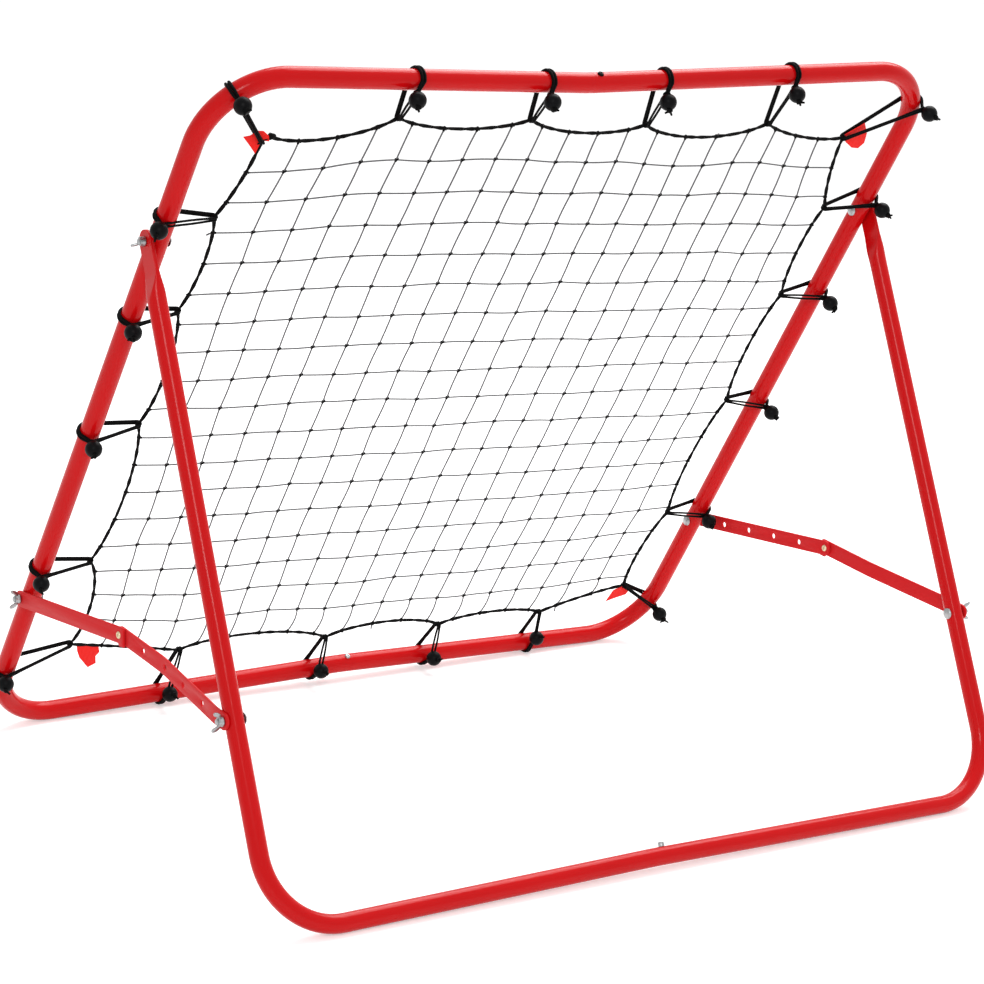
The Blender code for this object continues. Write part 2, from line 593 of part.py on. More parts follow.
def make_braces():
    """Two straps a side. The plain strap lies outside the one with holes at the elbow.

    The strap with holes is as many pitches long as come nearest to half the span between the
    bolts, and the plain strap takes up the rest.
    """
    net_bolt = net_plane.matrix_world @ Vector((0.0, BRACE_HEIGHT_NET, 0.0))
    leg_bolt = support_pivot.matrix_world @ Vector((0.0, BRACE_HEIGHT_SUPPORT - SUPPORT_LENGTH, 0.0))
    span = leg_bolt - net_bolt
    along = span.normalized()
    upward = Vector((0.0, -along.z, along.y))
    hole_count = round(span.length / 2 / STRAP_HOLE_PITCH)
    hole_length = hole_count * STRAP_HOLE_PITCH
    hole_run = math.sqrt(hole_length ** 2 - ELBOW_RISE ** 2)
    plain_run = span.length - hole_run
    plain_length = math.hypot(plain_run, ELBOW_RISE)
    plain_holes = [(0.0, BOLT_RADIUS), (plain_length, RIVET_RADIUS)]
    adjusting = [(i * STRAP_HOLE_PITCH, BOLT_RADIUS) for i in range(hole_count)]
    adjusting.append((hole_length, RIVET_RADIUS))
    net_out = NET_HALF_WIDTH + NET_TUBE_RADIUS + GAP
    leg_out = SUPPORT_HALF_WIDTH + SUPPORT_TUBE_RADIUS + GAP
    step = STRAP_THICKNESS + GAP
    for side, word in SIDES.items():
        plain_on_net = side > 0
        net_length, leg_length, net_run = plain_length, hole_length, plain_run
        if not plain_on_net:
            net_length, leg_length, net_run = hole_length, plain_length, hole_run
        meet = net_bolt + along * net_run + upward * ELBOW_RISE
        net_frame = outward_frame(side, net_out, net_bolt, meet - net_bolt)
        leg_frame = outward_frame(side, leg_out, leg_bolt, meet - leg_bolt)
        leg_rise = net_out - leg_out - step if plain_on_net else net_out - leg_out + step
        net_hinge = make_strap(f"brace_{word}_net_strap", net_frame, net_length, plain_on_net, 0.0,
                               plain_holes if plain_on_net else adjusting)
        leg_hinge = make_strap(f"brace_{word}_leg_strap", leg_frame, leg_length, not plain_on_net,
                               leg_rise, adjusting if plain_on_net else plain_holes)
        outer = (net_hinge, net_length, STRAP_THICKNESS)
        inner = (leg_hinge, leg_length, leg_rise)
        if not plain_on_net:
            outer = (leg_hinge, leg_length, leg_rise + STRAP_THICKNESS)
            inner = (net_hinge, net_length, 0.0)
        make_rivet_half(f"elbow_rivet_{word}_outer", *outer, 1)
        make_rivet_half(f"elbow_rivet_{word}_inner", *inner, -1)
        grip = 2 * NET_TUBE_RADIUS + STRAP_THICKNESS + 2 * GAP
        fasten(f"brace_net_{word}", side, NET_HALF_WIDTH - NET_TUBE_RADIUS, net_bolt,
               meet - net_bolt, grip, NET_WINGS)
        grip = 2 * SUPPORT_TUBE_RADIUS + STRAP_THICKNESS + 2 * GAP
        fasten(f"brace_leg_{word}", side, SUPPORT_HALF_WIDTH - SUPPORT_TUBE_RADIUS, leg_bolt,
               meet - leg_bolt, grip, LEG_WINGS)


def fasten(name, side, inner_face, centre, direction, grip, wings):
    """A bolt through a tube from its inner side, and its wing nut, turned this far."""
    frame = outward_frame(side, inner_face, centre, direction)
    make_bolt(f"{name}_bolt", frame, grip + NUT_HEIGHT)
    make_wing_nut(f"{name}_wing_nut", frame, grip, nut_mesh, wings)


def make_pivots():
    centre = support_pivot.matrix_world.translation
    grip = 2 * NET_TUBE_RADIUS + SPADE_THICKNESS + 2 * GAP
    for side, word in SIDES.items():
        fasten(f"pivot_{word}", side, NET_HALF_WIDTH - NET_TUBE_RADIUS, centre,
               Vector((0.0, 1.0, 0.0)), grip, PIVOT_WINGS)


def rope_point(ties, cells, hangs, station):
    """A point of the rope's centre line, at a station counted in net cells."""
    span = max(i for i in range(len(hangs)) if cells[i] <= station)
    share = (station - cells[span]) / (cells[span + 1] - cells[span])
    start, end = (Vector((*p, 0.0)) for p in ties[span:span + 2])
    chord = end - start
    inward = Vector((-chord.y, chord.x, 0.0)).normalized()
    if inward.dot(NET_MIDDLE - start) < 0:
        inward.negate()
    return start.lerp(end, share) + inward * hangs[span] * (4 * share * (1 - share)) ** ROPE_HANG_POWER


def rope_side(ties, cells, hangs):
    """The rope's points along one side, at every string and every tie, as {station: point}."""
    stations = sorted(set(range(NET_CELLS + 1)) | set(cells))
    return {s: rope_point(ties, cells, hangs, s) for s in stations}


def make_rope():
    """One closed loop of rope, along which all the net's strings and ties end."""
    curve = bpy.data.curves.new("border_rope", "CURVE")
    curve.dimensions = "3D"
    curve.twist_mode = "Z_UP"
    curve.bevel_depth = ROPE_RADIUS
    curve.bevel_resolution = 1
    spline = curve.splines.new("POLY")
    spline.points.add(len(rope_line) - 1)
    for point, place in zip(spline.points, rope_line):
        point.co = (*place, 1.0)
    spline.use_cyclic_u = True
    mesh = taken(add("border_rope", curve, None))
    smooth(mesh, 60)
    add("border_rope", mesh, net_plane, rope_black)


def net_point(column, row):
    """A crossing of the net, blended from the four sides of the rope."""
    across = column / NET_CELLS
    down = row / NET_CELLS
    corners = (top_rope[0] * (1 - across) + top_rope[NET_CELLS] * across) * (1 - down)
    corners += (bottom_rope[0] * (1 - across) + bottom_rope[NET_CELLS] * across) * down
    sides = left_rope[row] * (1 - across) + right_rope[row] * across
    return top_rope[column] * (1 - down) + bottom_rope[column] * down + sides - corners


def past_rope(place, direction, half_width):
    """How far from a point of the rope a band that leaves it this way clears the rope's sides."""
    index = min(range(len(rope_line)), key=lambda i: (rope_line[i] - place).length)
    neighbours = (rope_line[index - 1], rope_line[(index + 1) % len(rope_line)])
    splay = min((point - place).angle(direction) for point in neighbours)
    return (ROPE_RADIUS + GAP + half_width * math.cos(splay)) / math.sin(splay)


def make_net():
    """A flat net of square meshes, whose string ends stop at the rope."""
    shape = bmesh.new()
    bmesh.ops.create_grid(shape, x_segments=NET_CELLS, y_segments=NET_CELLS, size=NET_CELLS / 2)
    for vertex in shape.verts:
        column = round(NET_CELLS / 2 - vertex.co.x)
        row = round(NET_CELLS / 2 - vertex.co.y)
        place = net_point(column, row)
        if vertex.is_boundary:
            inner = net_point(min(max(column, 1), NET_CELLS - 1), min(max(row, 1), NET_CELLS - 1))
            string = (inner - place).normalized()
            place = place + string * past_rope(place, string, STRING_WIDTH / 2)
        vertex.co = place
    rim = [face for face in shape.faces]
    made = bmesh.ops.inset_individual(shape, faces=rim, thickness=STRING_WIDTH / 2,
                                      use_even_offset=True)
    gone = set(rim)
    gone.update(face for face in made["faces"] if any(edge.is_boundary for edge in face.edges))
    bmesh.ops.delete(shape, geom=list(gone), context="FACES")
    mesh = bpy.data.meshes.new("rebound_net")
    shape.to_mesh(mesh)
    shape.free()
    net = add("rebound_net", mesh, net_plane, net_black)
    thicken = net.modifiers.new("Solidify", "SOLIDIFY")
    thicken.thickness = STRING_THICKNESS
    thicken.offset = 0.0


def nearest_on(line, point):
    """The nearest point of a path to this one, and the path's direction there."""
    best = None
    for start, end in zip(line, line[1:]):
        chord = end - start
        share = min(1.0, max(0.0, (point - start).dot(chord) / chord.length_squared))
        found = start + chord * share
        if best is None or (found - point).length < (best[0] - point).length:
            best = found, chord.normalized()
    return best


def ring_points(reach, hook, wrap, stretch, ball):
    """The tie's loop in its own plane: round the rope at x = -reach, round the tube, to the ball."""
    lean = math.asin((wrap - hook) / reach)
    rear = math.atan2(ball.y, ball.x + reach) + math.acos(hook / math.hypot(ball.x + reach, ball.y))
    front = math.radians(270) - lean
    end = math.atan2(ball.y, ball.x) - math.acos(wrap / math.hypot(ball.x, ball.y))
    points = [(ball.x, ball.y)]
    for angle in angles(rear, front, HOOK_STEP):
        points.append((-reach + hook * math.cos(angle), hook * math.sin(angle)))
    for angle in angles(-math.pi / 2 - lean, end, WRAP_STEP):
        points.append((wrap * math.cos(angle) * stretch, wrap * math.sin(angle)))
    return points


def angles(start, end, most):
    """Angles from start to end in even steps, none over the given one."""
    steps = math.ceil((end - start) / most)
    return [start + (end - start) * i / steps for i in range(steps + 1)]


def make_tie(name, tie_point, ball, tube_line):
    """A doubled elastic loop round rope and tube, fused to its ball."""
    flat_ball = Vector((ball[0], ball[1], 0.0))
    crossing, tangent = nearest_on(tube_line, flat_ball)
    outward = (crossing - tie_point).normalized()
    hook = past_rope(tie_point, -outward, TIE_WIDTH / 2) + TIE_THICKNESS / 2
    hook /= math.cos(HOOK_STEP / 2)
    wrap = (NET_TUBE_RADIUS + CORD_GAP + TIE_THICKNESS / 2) / math.cos(WRAP_STEP / 2)
    square = abs(outward.cross(tangent).z)
    stretch = (1 + abs(outward.dot(tangent)) * TIE_WIDTH / 2 / wrap) / square
    behind = Vector((0.0, 0.0, -1.0))
    turn = Matrix((outward, behind, outward.cross(behind))).transposed().to_4x4()
    ring_frame = Matrix.Translation(crossing) @ turn
    centre = ring_frame.inverted() @ Vector((ball[0], ball[1], -ball[2]))
    reach = (crossing - tie_point).length

    curve = bpy.data.curves.new(name, "CURVE")
    curve.dimensions = "2D"
    curve.fill_mode = "NONE"
    curve.bevel_mode = "OBJECT"
    curve.bevel_object = tie_section
    line = curve.splines.new("POLY")
    points = ring_points(reach, hook, wrap, stretch, centre)
    line.points.add(len(points) - 1)
    for point, (x, y) in zip(line.points, points):
        point.co = (x, y, 0.0, 1.0)
    line.use_cyclic_u = True
    ring = add(f"{name}_loop", taken(add(name, curve, None)), net_plane)
    ring.matrix_local = ring_frame

    mesh = bpy.data.meshes.new(name)
    shape = bmesh.new()
    bmesh.ops.create_uvsphere(shape, u_segments=10, v_segments=6, radius=BALL_RADIUS)
    shape.to_mesh(mesh)
    shape.free()
    smooth(mesh)
    tie = add(name, mesh, net_plane, ball_black)
    tie.matrix_local = ring_frame @ Matrix.Translation(centre)
    boolean(tie, ring, "UNION")


def make_ties():
    """Four ties a side and one at each corner of the net."""
    left = net_half_line(1)
    right = net_half_line(-1)
    tube_line = left + right[-2::-1]
    places = {}
    for word, points in (("top", TOP_TIES), ("bottom", BOTTOM_TIES), ("left", LEFT_TIES),
                         ("right", RIGHT_TIES)):
        for number, point in enumerate(points[1:-1], start=1):
            places[f"tie_{word}_{number}"] = Vector((*point, 0.0))
    for word, side in (("top", TOP_TIES), ("bottom", BOTTOM_TIES)):
        places[f"tie_corner_{word}_left"] = Vector((*side[0], 0.0))
        places[f"tie_corner_{word}_right"] = Vector((*side[-1], 0.0))
    for name, place in places.items():
        make_tie(name, place, BALLS[name], tube_line)


def make_tabs():
    """Small sewn tabs that mark the net's corners. Each lies just outside the rope."""
    corners = {"top_left": TOP_TIES[0], "top_right": TOP_TIES[-1],
               "bottom_right": BOTTOM_TIES[-1], "bottom_left": BOTTOM_TIES[0]}
    for word, corner in corners.items():
        name = f"corner_tab_{word}"
        corner = Vector(corner)
        seat = corner + (corner - NET_MIDDLE.to_2d()).normalized() * (ROPE_RADIUS + GAP)
        if word == "bottom_left":
            start, end = (bottom_rope[station].to_2d() for station in (0, 1))
            down = Vector((end.y - start.y, start.x - end.x)).normalized()
            down = -down if down.y > 0 else down
            seat = start.lerp(end, BOTTOM_LEFT_TAB_SHARE) + down * (ROPE_RADIUS + GAP)
        outline = [seat] + [corner + Vector(offset) for offset in TABS[name]]
        add(name, plate_mesh(name, outline, TAB_THICKNESS), net_plane, tab_red)


clear_scene()
parts = bpy.data.collections.new("ball_rebounder")
cutters = bpy.data.collections.new("cutters_and_guides")
bpy.context.scene.collection.children.link(parts)
bpy.context.scene.collection.children.link(cutters)

red = material("red_powder_coat", RED, 0.30)
strap_red = material("red_strap_coat", STRAP_RED, 0.40)
zinc = material("zinc_plate", ZINC, 0.35, 1.0)
rope_black = material("black_rope", BLACK, 0.80)
net_black = material("black_string", BLACK, 0.85)
ball_black = material("black_elastic_and_ball", BLACK, 0.50)
tab_red = material("red_fabric", TAB_RED, 0.80)

SIDES = {1: "left", -1: "right"}
NET_MIDDLE = Vector((0.0, NET_LENGTH / 2, 0.0))
SUPPORT_HALF_WIDTH = NET_HALF_WIDTH + NET_TUBE_RADIUS + GAP + SPADE_THICKNESS / 2

net_plane = add_empty("net_plane", Matrix())
support_pivot = add_empty("support_pivot", Matrix())
up_slope = Vector((0.0, 1.0, 0.0))
net_top_screw = (Vector((TOP_SEAM_X - SCREW_OFFSET, NET_LENGTH - TOP_BAR_BOW + NET_TUBE_RADIUS, 0.0)),
                 up_slope, net_plane)
net_bottom_screw = (Vector((BOTTOM_SEAM_X - SCREW_OFFSET, BOTTOM_BAR_BOW + NET_TUBE_RADIUS, 0.0)),
                    up_slope, net_plane)
support_screw = (Vector((SUPPORT_SEAM_X - SCREW_OFFSET,
                         SUPPORT_BAR_BOW - SUPPORT_LENGTH + SUPPORT_TUBE_RADIUS, 0.0)),
                 up_slope, support_pivot)

net_halves = make_net_frame()
make_support()

# The net frame stands on its lowest points, and the support leans until its bends do as well
net_up = Vector((0.0, math.cos(NET_LEAN), math.sin(NET_LEAN)))
net_z = -min(vertex.co.dot(net_up) for mesh in net_halves for vertex in mesh.vertices)
pivot_z = net_z + PIVOT_HEIGHT * math.cos(NET_LEAN)
pivot_from_net = PIVOT_HEIGHT * math.sin(NET_LEAN)
support_reach = -min(point.y for point in support_half_line(1))
support_lean = math.acos((pivot_z - SUPPORT_TUBE_RADIUS) / support_reach)
depth = pivot_from_net + SUPPORT_LENGTH * math.sin(support_lean)
net_y = -(depth + SUPPORT_TUBE_RADIUS - NET_TUBE_RADIUS) / 2
net_plane.matrix_world = (Matrix.Translation((0.0, net_y, net_z))
                          @ Matrix.Rotation(math.pi / 2 - NET_LEAN, 4, "X"))
support_pivot.matrix_world = (Matrix.Translation((0.0, net_y + pivot_from_net, pivot_z))
                              @ Matrix.Rotation(math.pi / 2 + support_lean, 4, "X"))
bpy.context.view_layer.update()

section_outline = bpy.data.curves.new("tie_section", "CURVE")
section_outline.dimensions = "2D"
section_line = section_outline.splines.new("POLY")
section_line.points.add(3)
for corner, (x, y) in zip(section_line.points, ((1, 1), (-1, 1), (-1, -1), (1, -1))):
    corner.co = (x * TIE_THICKNESS / 2, y * TIE_WIDTH / 2, 0.0, 1.0)
section_line.use_cyclic_u = True
tie_section = add("tie_section", section_outline, None)

top_rope = rope_side(TOP_TIES, TOP_CELLS, TOP_HANG)
bottom_rope = rope_side(BOTTOM_TIES, BOTTOM_CELLS, BOTTOM_HANG)
left_rope = rope_side(LEFT_TIES, SIDE_CELLS, LEFT_HANG)
right_rope = rope_side(RIGHT_TIES, SIDE_CELLS, RIGHT_HANG)
rope_line = list(top_rope.values()) + list(right_rope.values())[1:]
rope_line += list(bottom_rope.values())[-2::-1] + list(left_rope.values())[-2:0:-1]

nut_mesh = wing_nut_mesh()
nut_mesh.materials.append(zinc)

make_screw("net_top_joint_screw", net_top_screw)
make_screw("net_bottom_joint_screw", net_bottom_screw)
make_screw("support_joint_screw", support_screw)
make_pivots()
make_braces()
make_rope()
make_net()
make_ties()
make_tabs()
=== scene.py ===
"""The folding ball rebounder with its real surfaces: coated tube, zinc hardware, knotted net.

Metres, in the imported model's frame: +Z up, the net's struck face towards -Y, the support at +Y.
Left is +X, as seen from behind the support, where the camera stands.
"""

import math
import random

import bmesh
import bpy
from mathutils import Matrix, Vector


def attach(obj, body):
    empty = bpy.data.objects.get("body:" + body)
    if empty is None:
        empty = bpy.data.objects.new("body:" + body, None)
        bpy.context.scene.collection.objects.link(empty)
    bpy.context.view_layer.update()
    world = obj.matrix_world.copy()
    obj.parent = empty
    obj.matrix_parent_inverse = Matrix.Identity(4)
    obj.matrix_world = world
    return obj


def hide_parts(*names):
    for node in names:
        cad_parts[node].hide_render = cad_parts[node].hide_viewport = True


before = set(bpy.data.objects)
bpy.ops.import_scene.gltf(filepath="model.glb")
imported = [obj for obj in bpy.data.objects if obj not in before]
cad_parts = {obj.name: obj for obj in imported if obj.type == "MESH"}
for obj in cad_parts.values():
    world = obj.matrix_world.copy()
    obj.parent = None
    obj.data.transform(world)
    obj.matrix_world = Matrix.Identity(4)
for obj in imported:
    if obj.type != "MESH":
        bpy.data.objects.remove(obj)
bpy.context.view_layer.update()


# The net frame: two halves of 22 mm steel tube, bent cold round an 80 mm former. Each half is
# made as it is bent, from a ring that is pushed along the straights and swung round the corners.
# The left half's ends are drawn down to plugs, which the open ends of the right half take.
SIDES = {"left": 1, "right": -1}
NET_HALF_WIDTH = 0.469
NET_LENGTH = 0.916
NET_TUBE_RADIUS = 0.011
TOP_BAR_BOW, TOP_SEAM_X = 0.014, 0.015
BOTTOM_BAR_BOW, BOTTOM_SEAM_X = 0.013, 0.0
COLLAR = 0.006             # straight stretch on each side of a joint
BEND_RADIUS = 0.080
BEND_STEP = math.radians(4.5)
TUBE_SIDES = 40
TUBE_WALL = 0.0012
PLUG_LENGTH = 0.045
PLUG_TAPER = 0.955         # keeps a plug inside a tube that bends away from it a little
# How a plug is drawn down: steps along it, each with what it leaves of the radius.
PLUG_STEPS = ((0.0009, 0.985), (0.0009, 0.955), (0.0007, 0.94), (PLUG_LENGTH, PLUG_TAPER),
              (0.001, 0.8))
MOUTH_DEPTH = PLUG_LENGTH + 0.006
EDGE_ROLL = 0.0003         # rounding of an open end's edge
JOINT_GAP = 0.0006
PEEL_LENGTH = 0.005        # one ripple of the powder coat
TONE_LENGTH = 0.110        # over which its colour drifts
NET_LEAN = 28.5            # degrees from upright
net_plane = (Matrix.Translation((0.0, -0.33035, 0.008591))
             @ Matrix.Rotation(math.radians(90 - NET_LEAN), 4, "X"))


def colour(code):
    """The linear colour of an sRGB hex code."""
    parts = [int(code[i:i + 2], 16) / 255 for i in (1, 3, 5)]
    return [c / 12.92 if c <= 0.04045 else ((c + 0.055) / 1.055) ** 2.4 for c in parts] + [1.0]


def add_node(tree, kind, inputs=None, **settings):
    """Adds a node. Its inputs are values, or the outputs that feed them."""
    node = tree.nodes.new(kind)
    for name, value in settings.items():
        setattr(node, name, value)
    for name, value in (inputs or {}).items():
        if isinstance(value, bpy.types.NodeSocket):
            tree.links.new(value, node.inputs[name])
        else:
            node.inputs[name].default_value = value
    return node


def new_finish(name):
    """A new material, its empty tree, and the Object coordinates in it."""
    finish = bpy.data.materials.new(name)
    finish.use_nodes = True
    tree = finish.node_tree
    tree.nodes.clear()
    return finish, tree, add_node(tree, "ShaderNodeTexCoord").outputs["Object"]


def mottled(tree, place, length, deep, bright, detail=2.0):
    """Clouds of about this length, and a colour between two that drifts with them."""
    cloud = add_node(tree, "ShaderNodeTexNoise",
                     {"Vector": place, "Scale": 1 / length, "Detail": detail}).outputs["Fac"]
    # A Mix node's colours are found by number, because other inputs of it have the same names.
    tint = add_node(tree, "ShaderNodeMix", {"Factor": cloud, 6: colour(deep), 7: colour(bright)},
                    data_type="RGBA")
    return cloud, tint.outputs[2]


def cover(tree, height, strength, depth, look):
    """Ends a material: its relief, its shader with this look, and its output."""
    bump = add_node(tree, "ShaderNodeBump",
                    {"Height": height, "Strength": strength, "Distance": depth})
    shader = add_node(tree, "ShaderNodeBsdfPrincipled",
                      {**look, "Normal": bump.outputs["Normal"]})
    add_node(tree, "ShaderNodeOutputMaterial", {"Surface": shader.outputs["BSDF"]})


def powder_coat(name, deep, bright, roughness, shine):
    """Polyester powder baked on steel. It flows into orange peel, a ripple some 5 mm long, and
    shows soft lamps as a pale band along a tube. Its depth of colour drifts over 110 mm."""
    finish, tree, place = new_finish(name)
    cloud, tint = mottled(tree, place, TONE_LENGTH, deep, bright)
    peel = add_node(tree, "ShaderNodeTexNoise",
                    {"Vector": place, "Scale": 1 / PEEL_LENGTH, "Detail": 1.0})
    rough = add_node(tree, "ShaderNodeMapRange",
                     {"Value": cloud, "From Min": 0.3, "From Max": 0.7,
                      "To Min": roughness - 0.04, "To Max": roughness + 0.04})
    cover(tree, peel.outputs["Fac"], 0.25, 0.0002, {
        "Base Color": tint, "Roughness": rough.outputs["Result"], "IOR": 1.5,
        "Specular IOR Level": shine})
    return finish


def new_mesh(name, shape):
    """Turns a shape into a mesh."""
    mesh = bpy.data.meshes.new(name)
    shape.to_mesh(mesh)
    shape.free()
    return mesh


def add_object(name, shape, finishes, place, crease=40):
    """Makes an object of a shape, and sets the shape in its place."""
    bmesh.ops.transform(shape, matrix=place, verts=shape.verts)
    mesh = new_mesh(name, shape)
    mesh.shade_smooth()
    mesh.set_sharp_from_angle(angle=math.radians(crease))
    for finish in finishes:
        mesh.materials.append(finish)
    made = bpy.data.objects.new(name, mesh)
    bpy.context.scene.collection.objects.link(made)
    return made


def add_piece(name, shape, finishes, place, body, nodes, crease=40):
    """Adds a piece that rides on a body and stands for the nodes."""
    piece = add_object(name, shape, finishes, place, crease)
    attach(piece, body)
    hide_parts(*nodes)
    return piece


def new_corners(made):
    """The vertices among what an operator made."""
    return [part for part in made if isinstance(part, bmesh.types.BMVert)]


def rim_of(made):
    """The edges of an extruded or spun ring that lie at its new end."""
    ends = set(new_corners(made))
    return [part for part in made
            if isinstance(part, bmesh.types.BMEdge) and ends.issuperset(part.verts)]


def push(shape, rim, step, size=1.0):
    """Pushes a ring by this step. Size widens or narrows it."""
    made = bmesh.ops.extrude_edge_only(shape, edges=rim)["geom"]
    corners = new_corners(made)
    bmesh.ops.translate(shape, verts=corners, vec=step)
    middle = sum((corner.co for corner in corners), Vector()) / len(corners)
    bmesh.ops.scale(shape, verts=corners, vec=(size, size, size),
                    space=Matrix.Translation(-middle))
    return rim_of(made)


def bent_tube(path, radius):
    """A tube along a flat path, with its corners bent, its end rings and its centre line."""
    shape = bmesh.new()
    facing = (path[1] - path[0]).to_track_quat("Z", "X").to_matrix().to_4x4()
    bmesh.ops.create_circle(shape, segments=TUBE_SIDES, radius=radius,
                            matrix=Matrix.Translation(path[0]) @ facing)
    first = rim = shape.edges[:]
    line = [path[0]]
    for before, corner, after in zip(path, path[1:], path[2:]):
        arrive = (corner - before).normalized()
        leave = (after - corner).normalized()
        turn = arrive.angle(leave)
        reach = BEND_RADIUS * math.tan(turn / 2)
        start = corner - arrive * reach
        rim = push(shape, rim, start - line[-1])
        line.append(start)
        if turn < 1e-4:
            continue
        axis = arrive.cross(leave).normalized()
        centre = start + axis.cross(arrive) * BEND_RADIUS
        steps = math.ceil(turn / BEND_STEP)
        swung = bmesh.ops.spin(shape, geom=rim, cent=centre, axis=axis, angle=turn, steps=steps)
        rim = rim_of(swung["geom_last"])
        for i in range(1, steps + 1):
            swing = Matrix.Rotation(turn * i / steps, 3, axis)
            line.append(centre + swing @ (start - centre))
    rim = push(shape, rim, path[-1] - line[-1])
    line.append(path[-1])
    return shape, (first, rim), line


def swage(shape, rim, way):
    """Draws an end down to a plug that fits inside a tube of the same size."""
    for step, size in PLUG_STEPS:
        rim = push(shape, rim, way * step, size)
    bmesh.ops.edgeloop_fill(shape, edges=rim)


def open_end(shape, rim, way, radius):
    """Rolls the edge of an open end inwards, and lines its mouth deeper than the plug goes."""
    rim = push(shape, rim, way * EDGE_ROLL, 1 - EDGE_ROLL / radius)
    rim = push(shape, rim, way * EDGE_ROLL / 3, 1 - TUBE_WALL / radius)
    rim = push(shape, rim, way * -MOUTH_DEPTH, PLUG_TAPER)
    bmesh.ops.edgeloop_fill(shape, edges=rim)


red_coat = powder_coat("gloss_red_powder_coat", "#C6080C", "#D20E12", 0.18, 0.14)
net_lines = {}
for word, side in SIDES.items():
    top = Vector((TOP_SEAM_X, NET_LENGTH - TOP_BAR_BOW, 0.0))
    bottom = Vector((BOTTOM_SEAM_X, BOTTOM_BAR_BOW, 0.0))
    out = Vector((side, 0.0, 0.0))
    path = [top + out * JOINT_GAP / 2, top + out * COLLAR,
            Vector((side * NET_HALF_WIDTH, NET_LENGTH, 0.0)),
            Vector((side * NET_HALF_WIDTH, 0.0, 0.0)),
            bottom + out * COLLAR, bottom + out * JOINT_GAP / 2]
    shape, ends, net_lines[word] = bent_tube(path, NET_TUBE_RADIUS)
    for end in ends:
        if side > 0:
            swage(shape, end, -out)
        else:
            open_end(shape, end, -out, NET_TUBE_RADIUS)
    bmesh.ops.recalc_face_normals(shape, faces=shape.faces)
    add_piece(f"net_tube_{word}", shape, [red_coat], net_plane, "net_frame",
              [f"net_frame_{word}"])


# The rear support: two halves of 20 mm tube from the same bender. The upper ends are pressed flat
# between dies, rounded off and drilled, and lie against the outside of the net frame.
SUPPORT_HALF_WIDTH = 0.4823
SUPPORT_LENGTH = 0.702
SUPPORT_TUBE_RADIUS = 0.010
SUPPORT_BAR_BOW, SUPPORT_SEAM_X = 0.005, 0.010
SPADE_HALF_THICKNESS = 0.002
SPADE_HALF_WIDTH = 0.012
SPADE_LENGTH = 0.030
SPADE_TAPER = 0.036
PIVOT = (0.008433, 0.632551)
SUPPORT_LEAN = 27.3868     # degrees from upright
support_plane = (Matrix.Translation((0.0, *PIVOT))
                 @ Matrix.Rotation(math.radians(90 + SUPPORT_LEAN), 4, "X"))


def press_flat(shape, middle):
    """Presses the upper end of a leg between flat dies, and rounds its tip."""
    for corner in shape.verts:
        share = min(1.0, max(0.0, (corner.co.y + SPADE_LENGTH + SPADE_TAPER) / SPADE_TAPER))
        share = share * share * (3 - 2 * share)
        half = SUPPORT_TUBE_RADIUS + (SPADE_HALF_THICKNESS - SUPPORT_TUBE_RADIUS) * share
        width = SUPPORT_TUBE_RADIUS + (SPADE_HALF_WIDTH - SUPPORT_TUBE_RADIUS) * share
        if corner.co.y > 0.0:
            width *= math.sqrt(max(0.0, 1 - (corner.co.y / SPADE_HALF_WIDTH) ** 2))
        if share > 0.0:
            corner.co.x = middle + min(half, max(-half, corner.co.x - middle))
            corner.co.z *= width / SUPPORT_TUBE_RADIUS


for word, side in SIDES.items():
    middle = side * SUPPORT_HALF_WIDTH
    out = Vector((side, 0.0, 0.0))
    seam = Vector((SUPPORT_SEAM_X, SUPPORT_BAR_BOW - SUPPORT_LENGTH, 0.0))
    tip = [SPADE_HALF_WIDTH * math.sin(math.radians(a)) for a in (88, 75, 60, 45, 30, 15, 0)]
    taper = [-SPADE_LENGTH - SPADE_TAPER * i / 12 for i in range(13)]
    path = [Vector((middle, y, 0.0)) for y in tip + taper]
    path += [Vector((middle, -SUPPORT_LENGTH, 0.0)), seam + out * COLLAR,
             seam + out * JOINT_GAP / 2]
    shape, (tip_rim, foot_rim), line = bent_tube(path, SUPPORT_TUBE_RADIUS)
    if side > 0:
        swage(shape, foot_rim, -out)
    else:
        open_end(shape, foot_rim, -out, SUPPORT_TUBE_RADIUS)
    bmesh.ops.edgeloop_fill(shape, edges=tip_rim)
    press_flat(shape, middle)
    bmesh.ops.recalc_face_normals(shape, faces=shape.faces)
    add_piece(f"support_tube_{word}", shape, [red_coat], support_plane, "support",
              [f"support_{word}"])


# Joint screws: one locks each plug in its tube. They are pan heads with a cross recess, blackened
# on the top bar and zinc plated below, and the support's stands 5 mm high. The plating is bright,
# clouded by the bath, and finely scratched by handling.
SCREW_RADIUS = 0.0019
SCREW_HEAD_RADIUS = 0.0034
SCREW_LENGTH, SCREW_TIP = 0.005, 0.006
SCREW_OFFSET = 0.010       # from the seam
LOW_HEAD, HIGH_HEAD = 0.0022, 0.0050
RECESS = 0.0009            # half width of a recess's arm
THREAD_PITCH, THREAD_DEPTH = 0.001, 0.0004
CLOUD_LENGTH, SCRATCH_LENGTH = 0.008, 0.0006


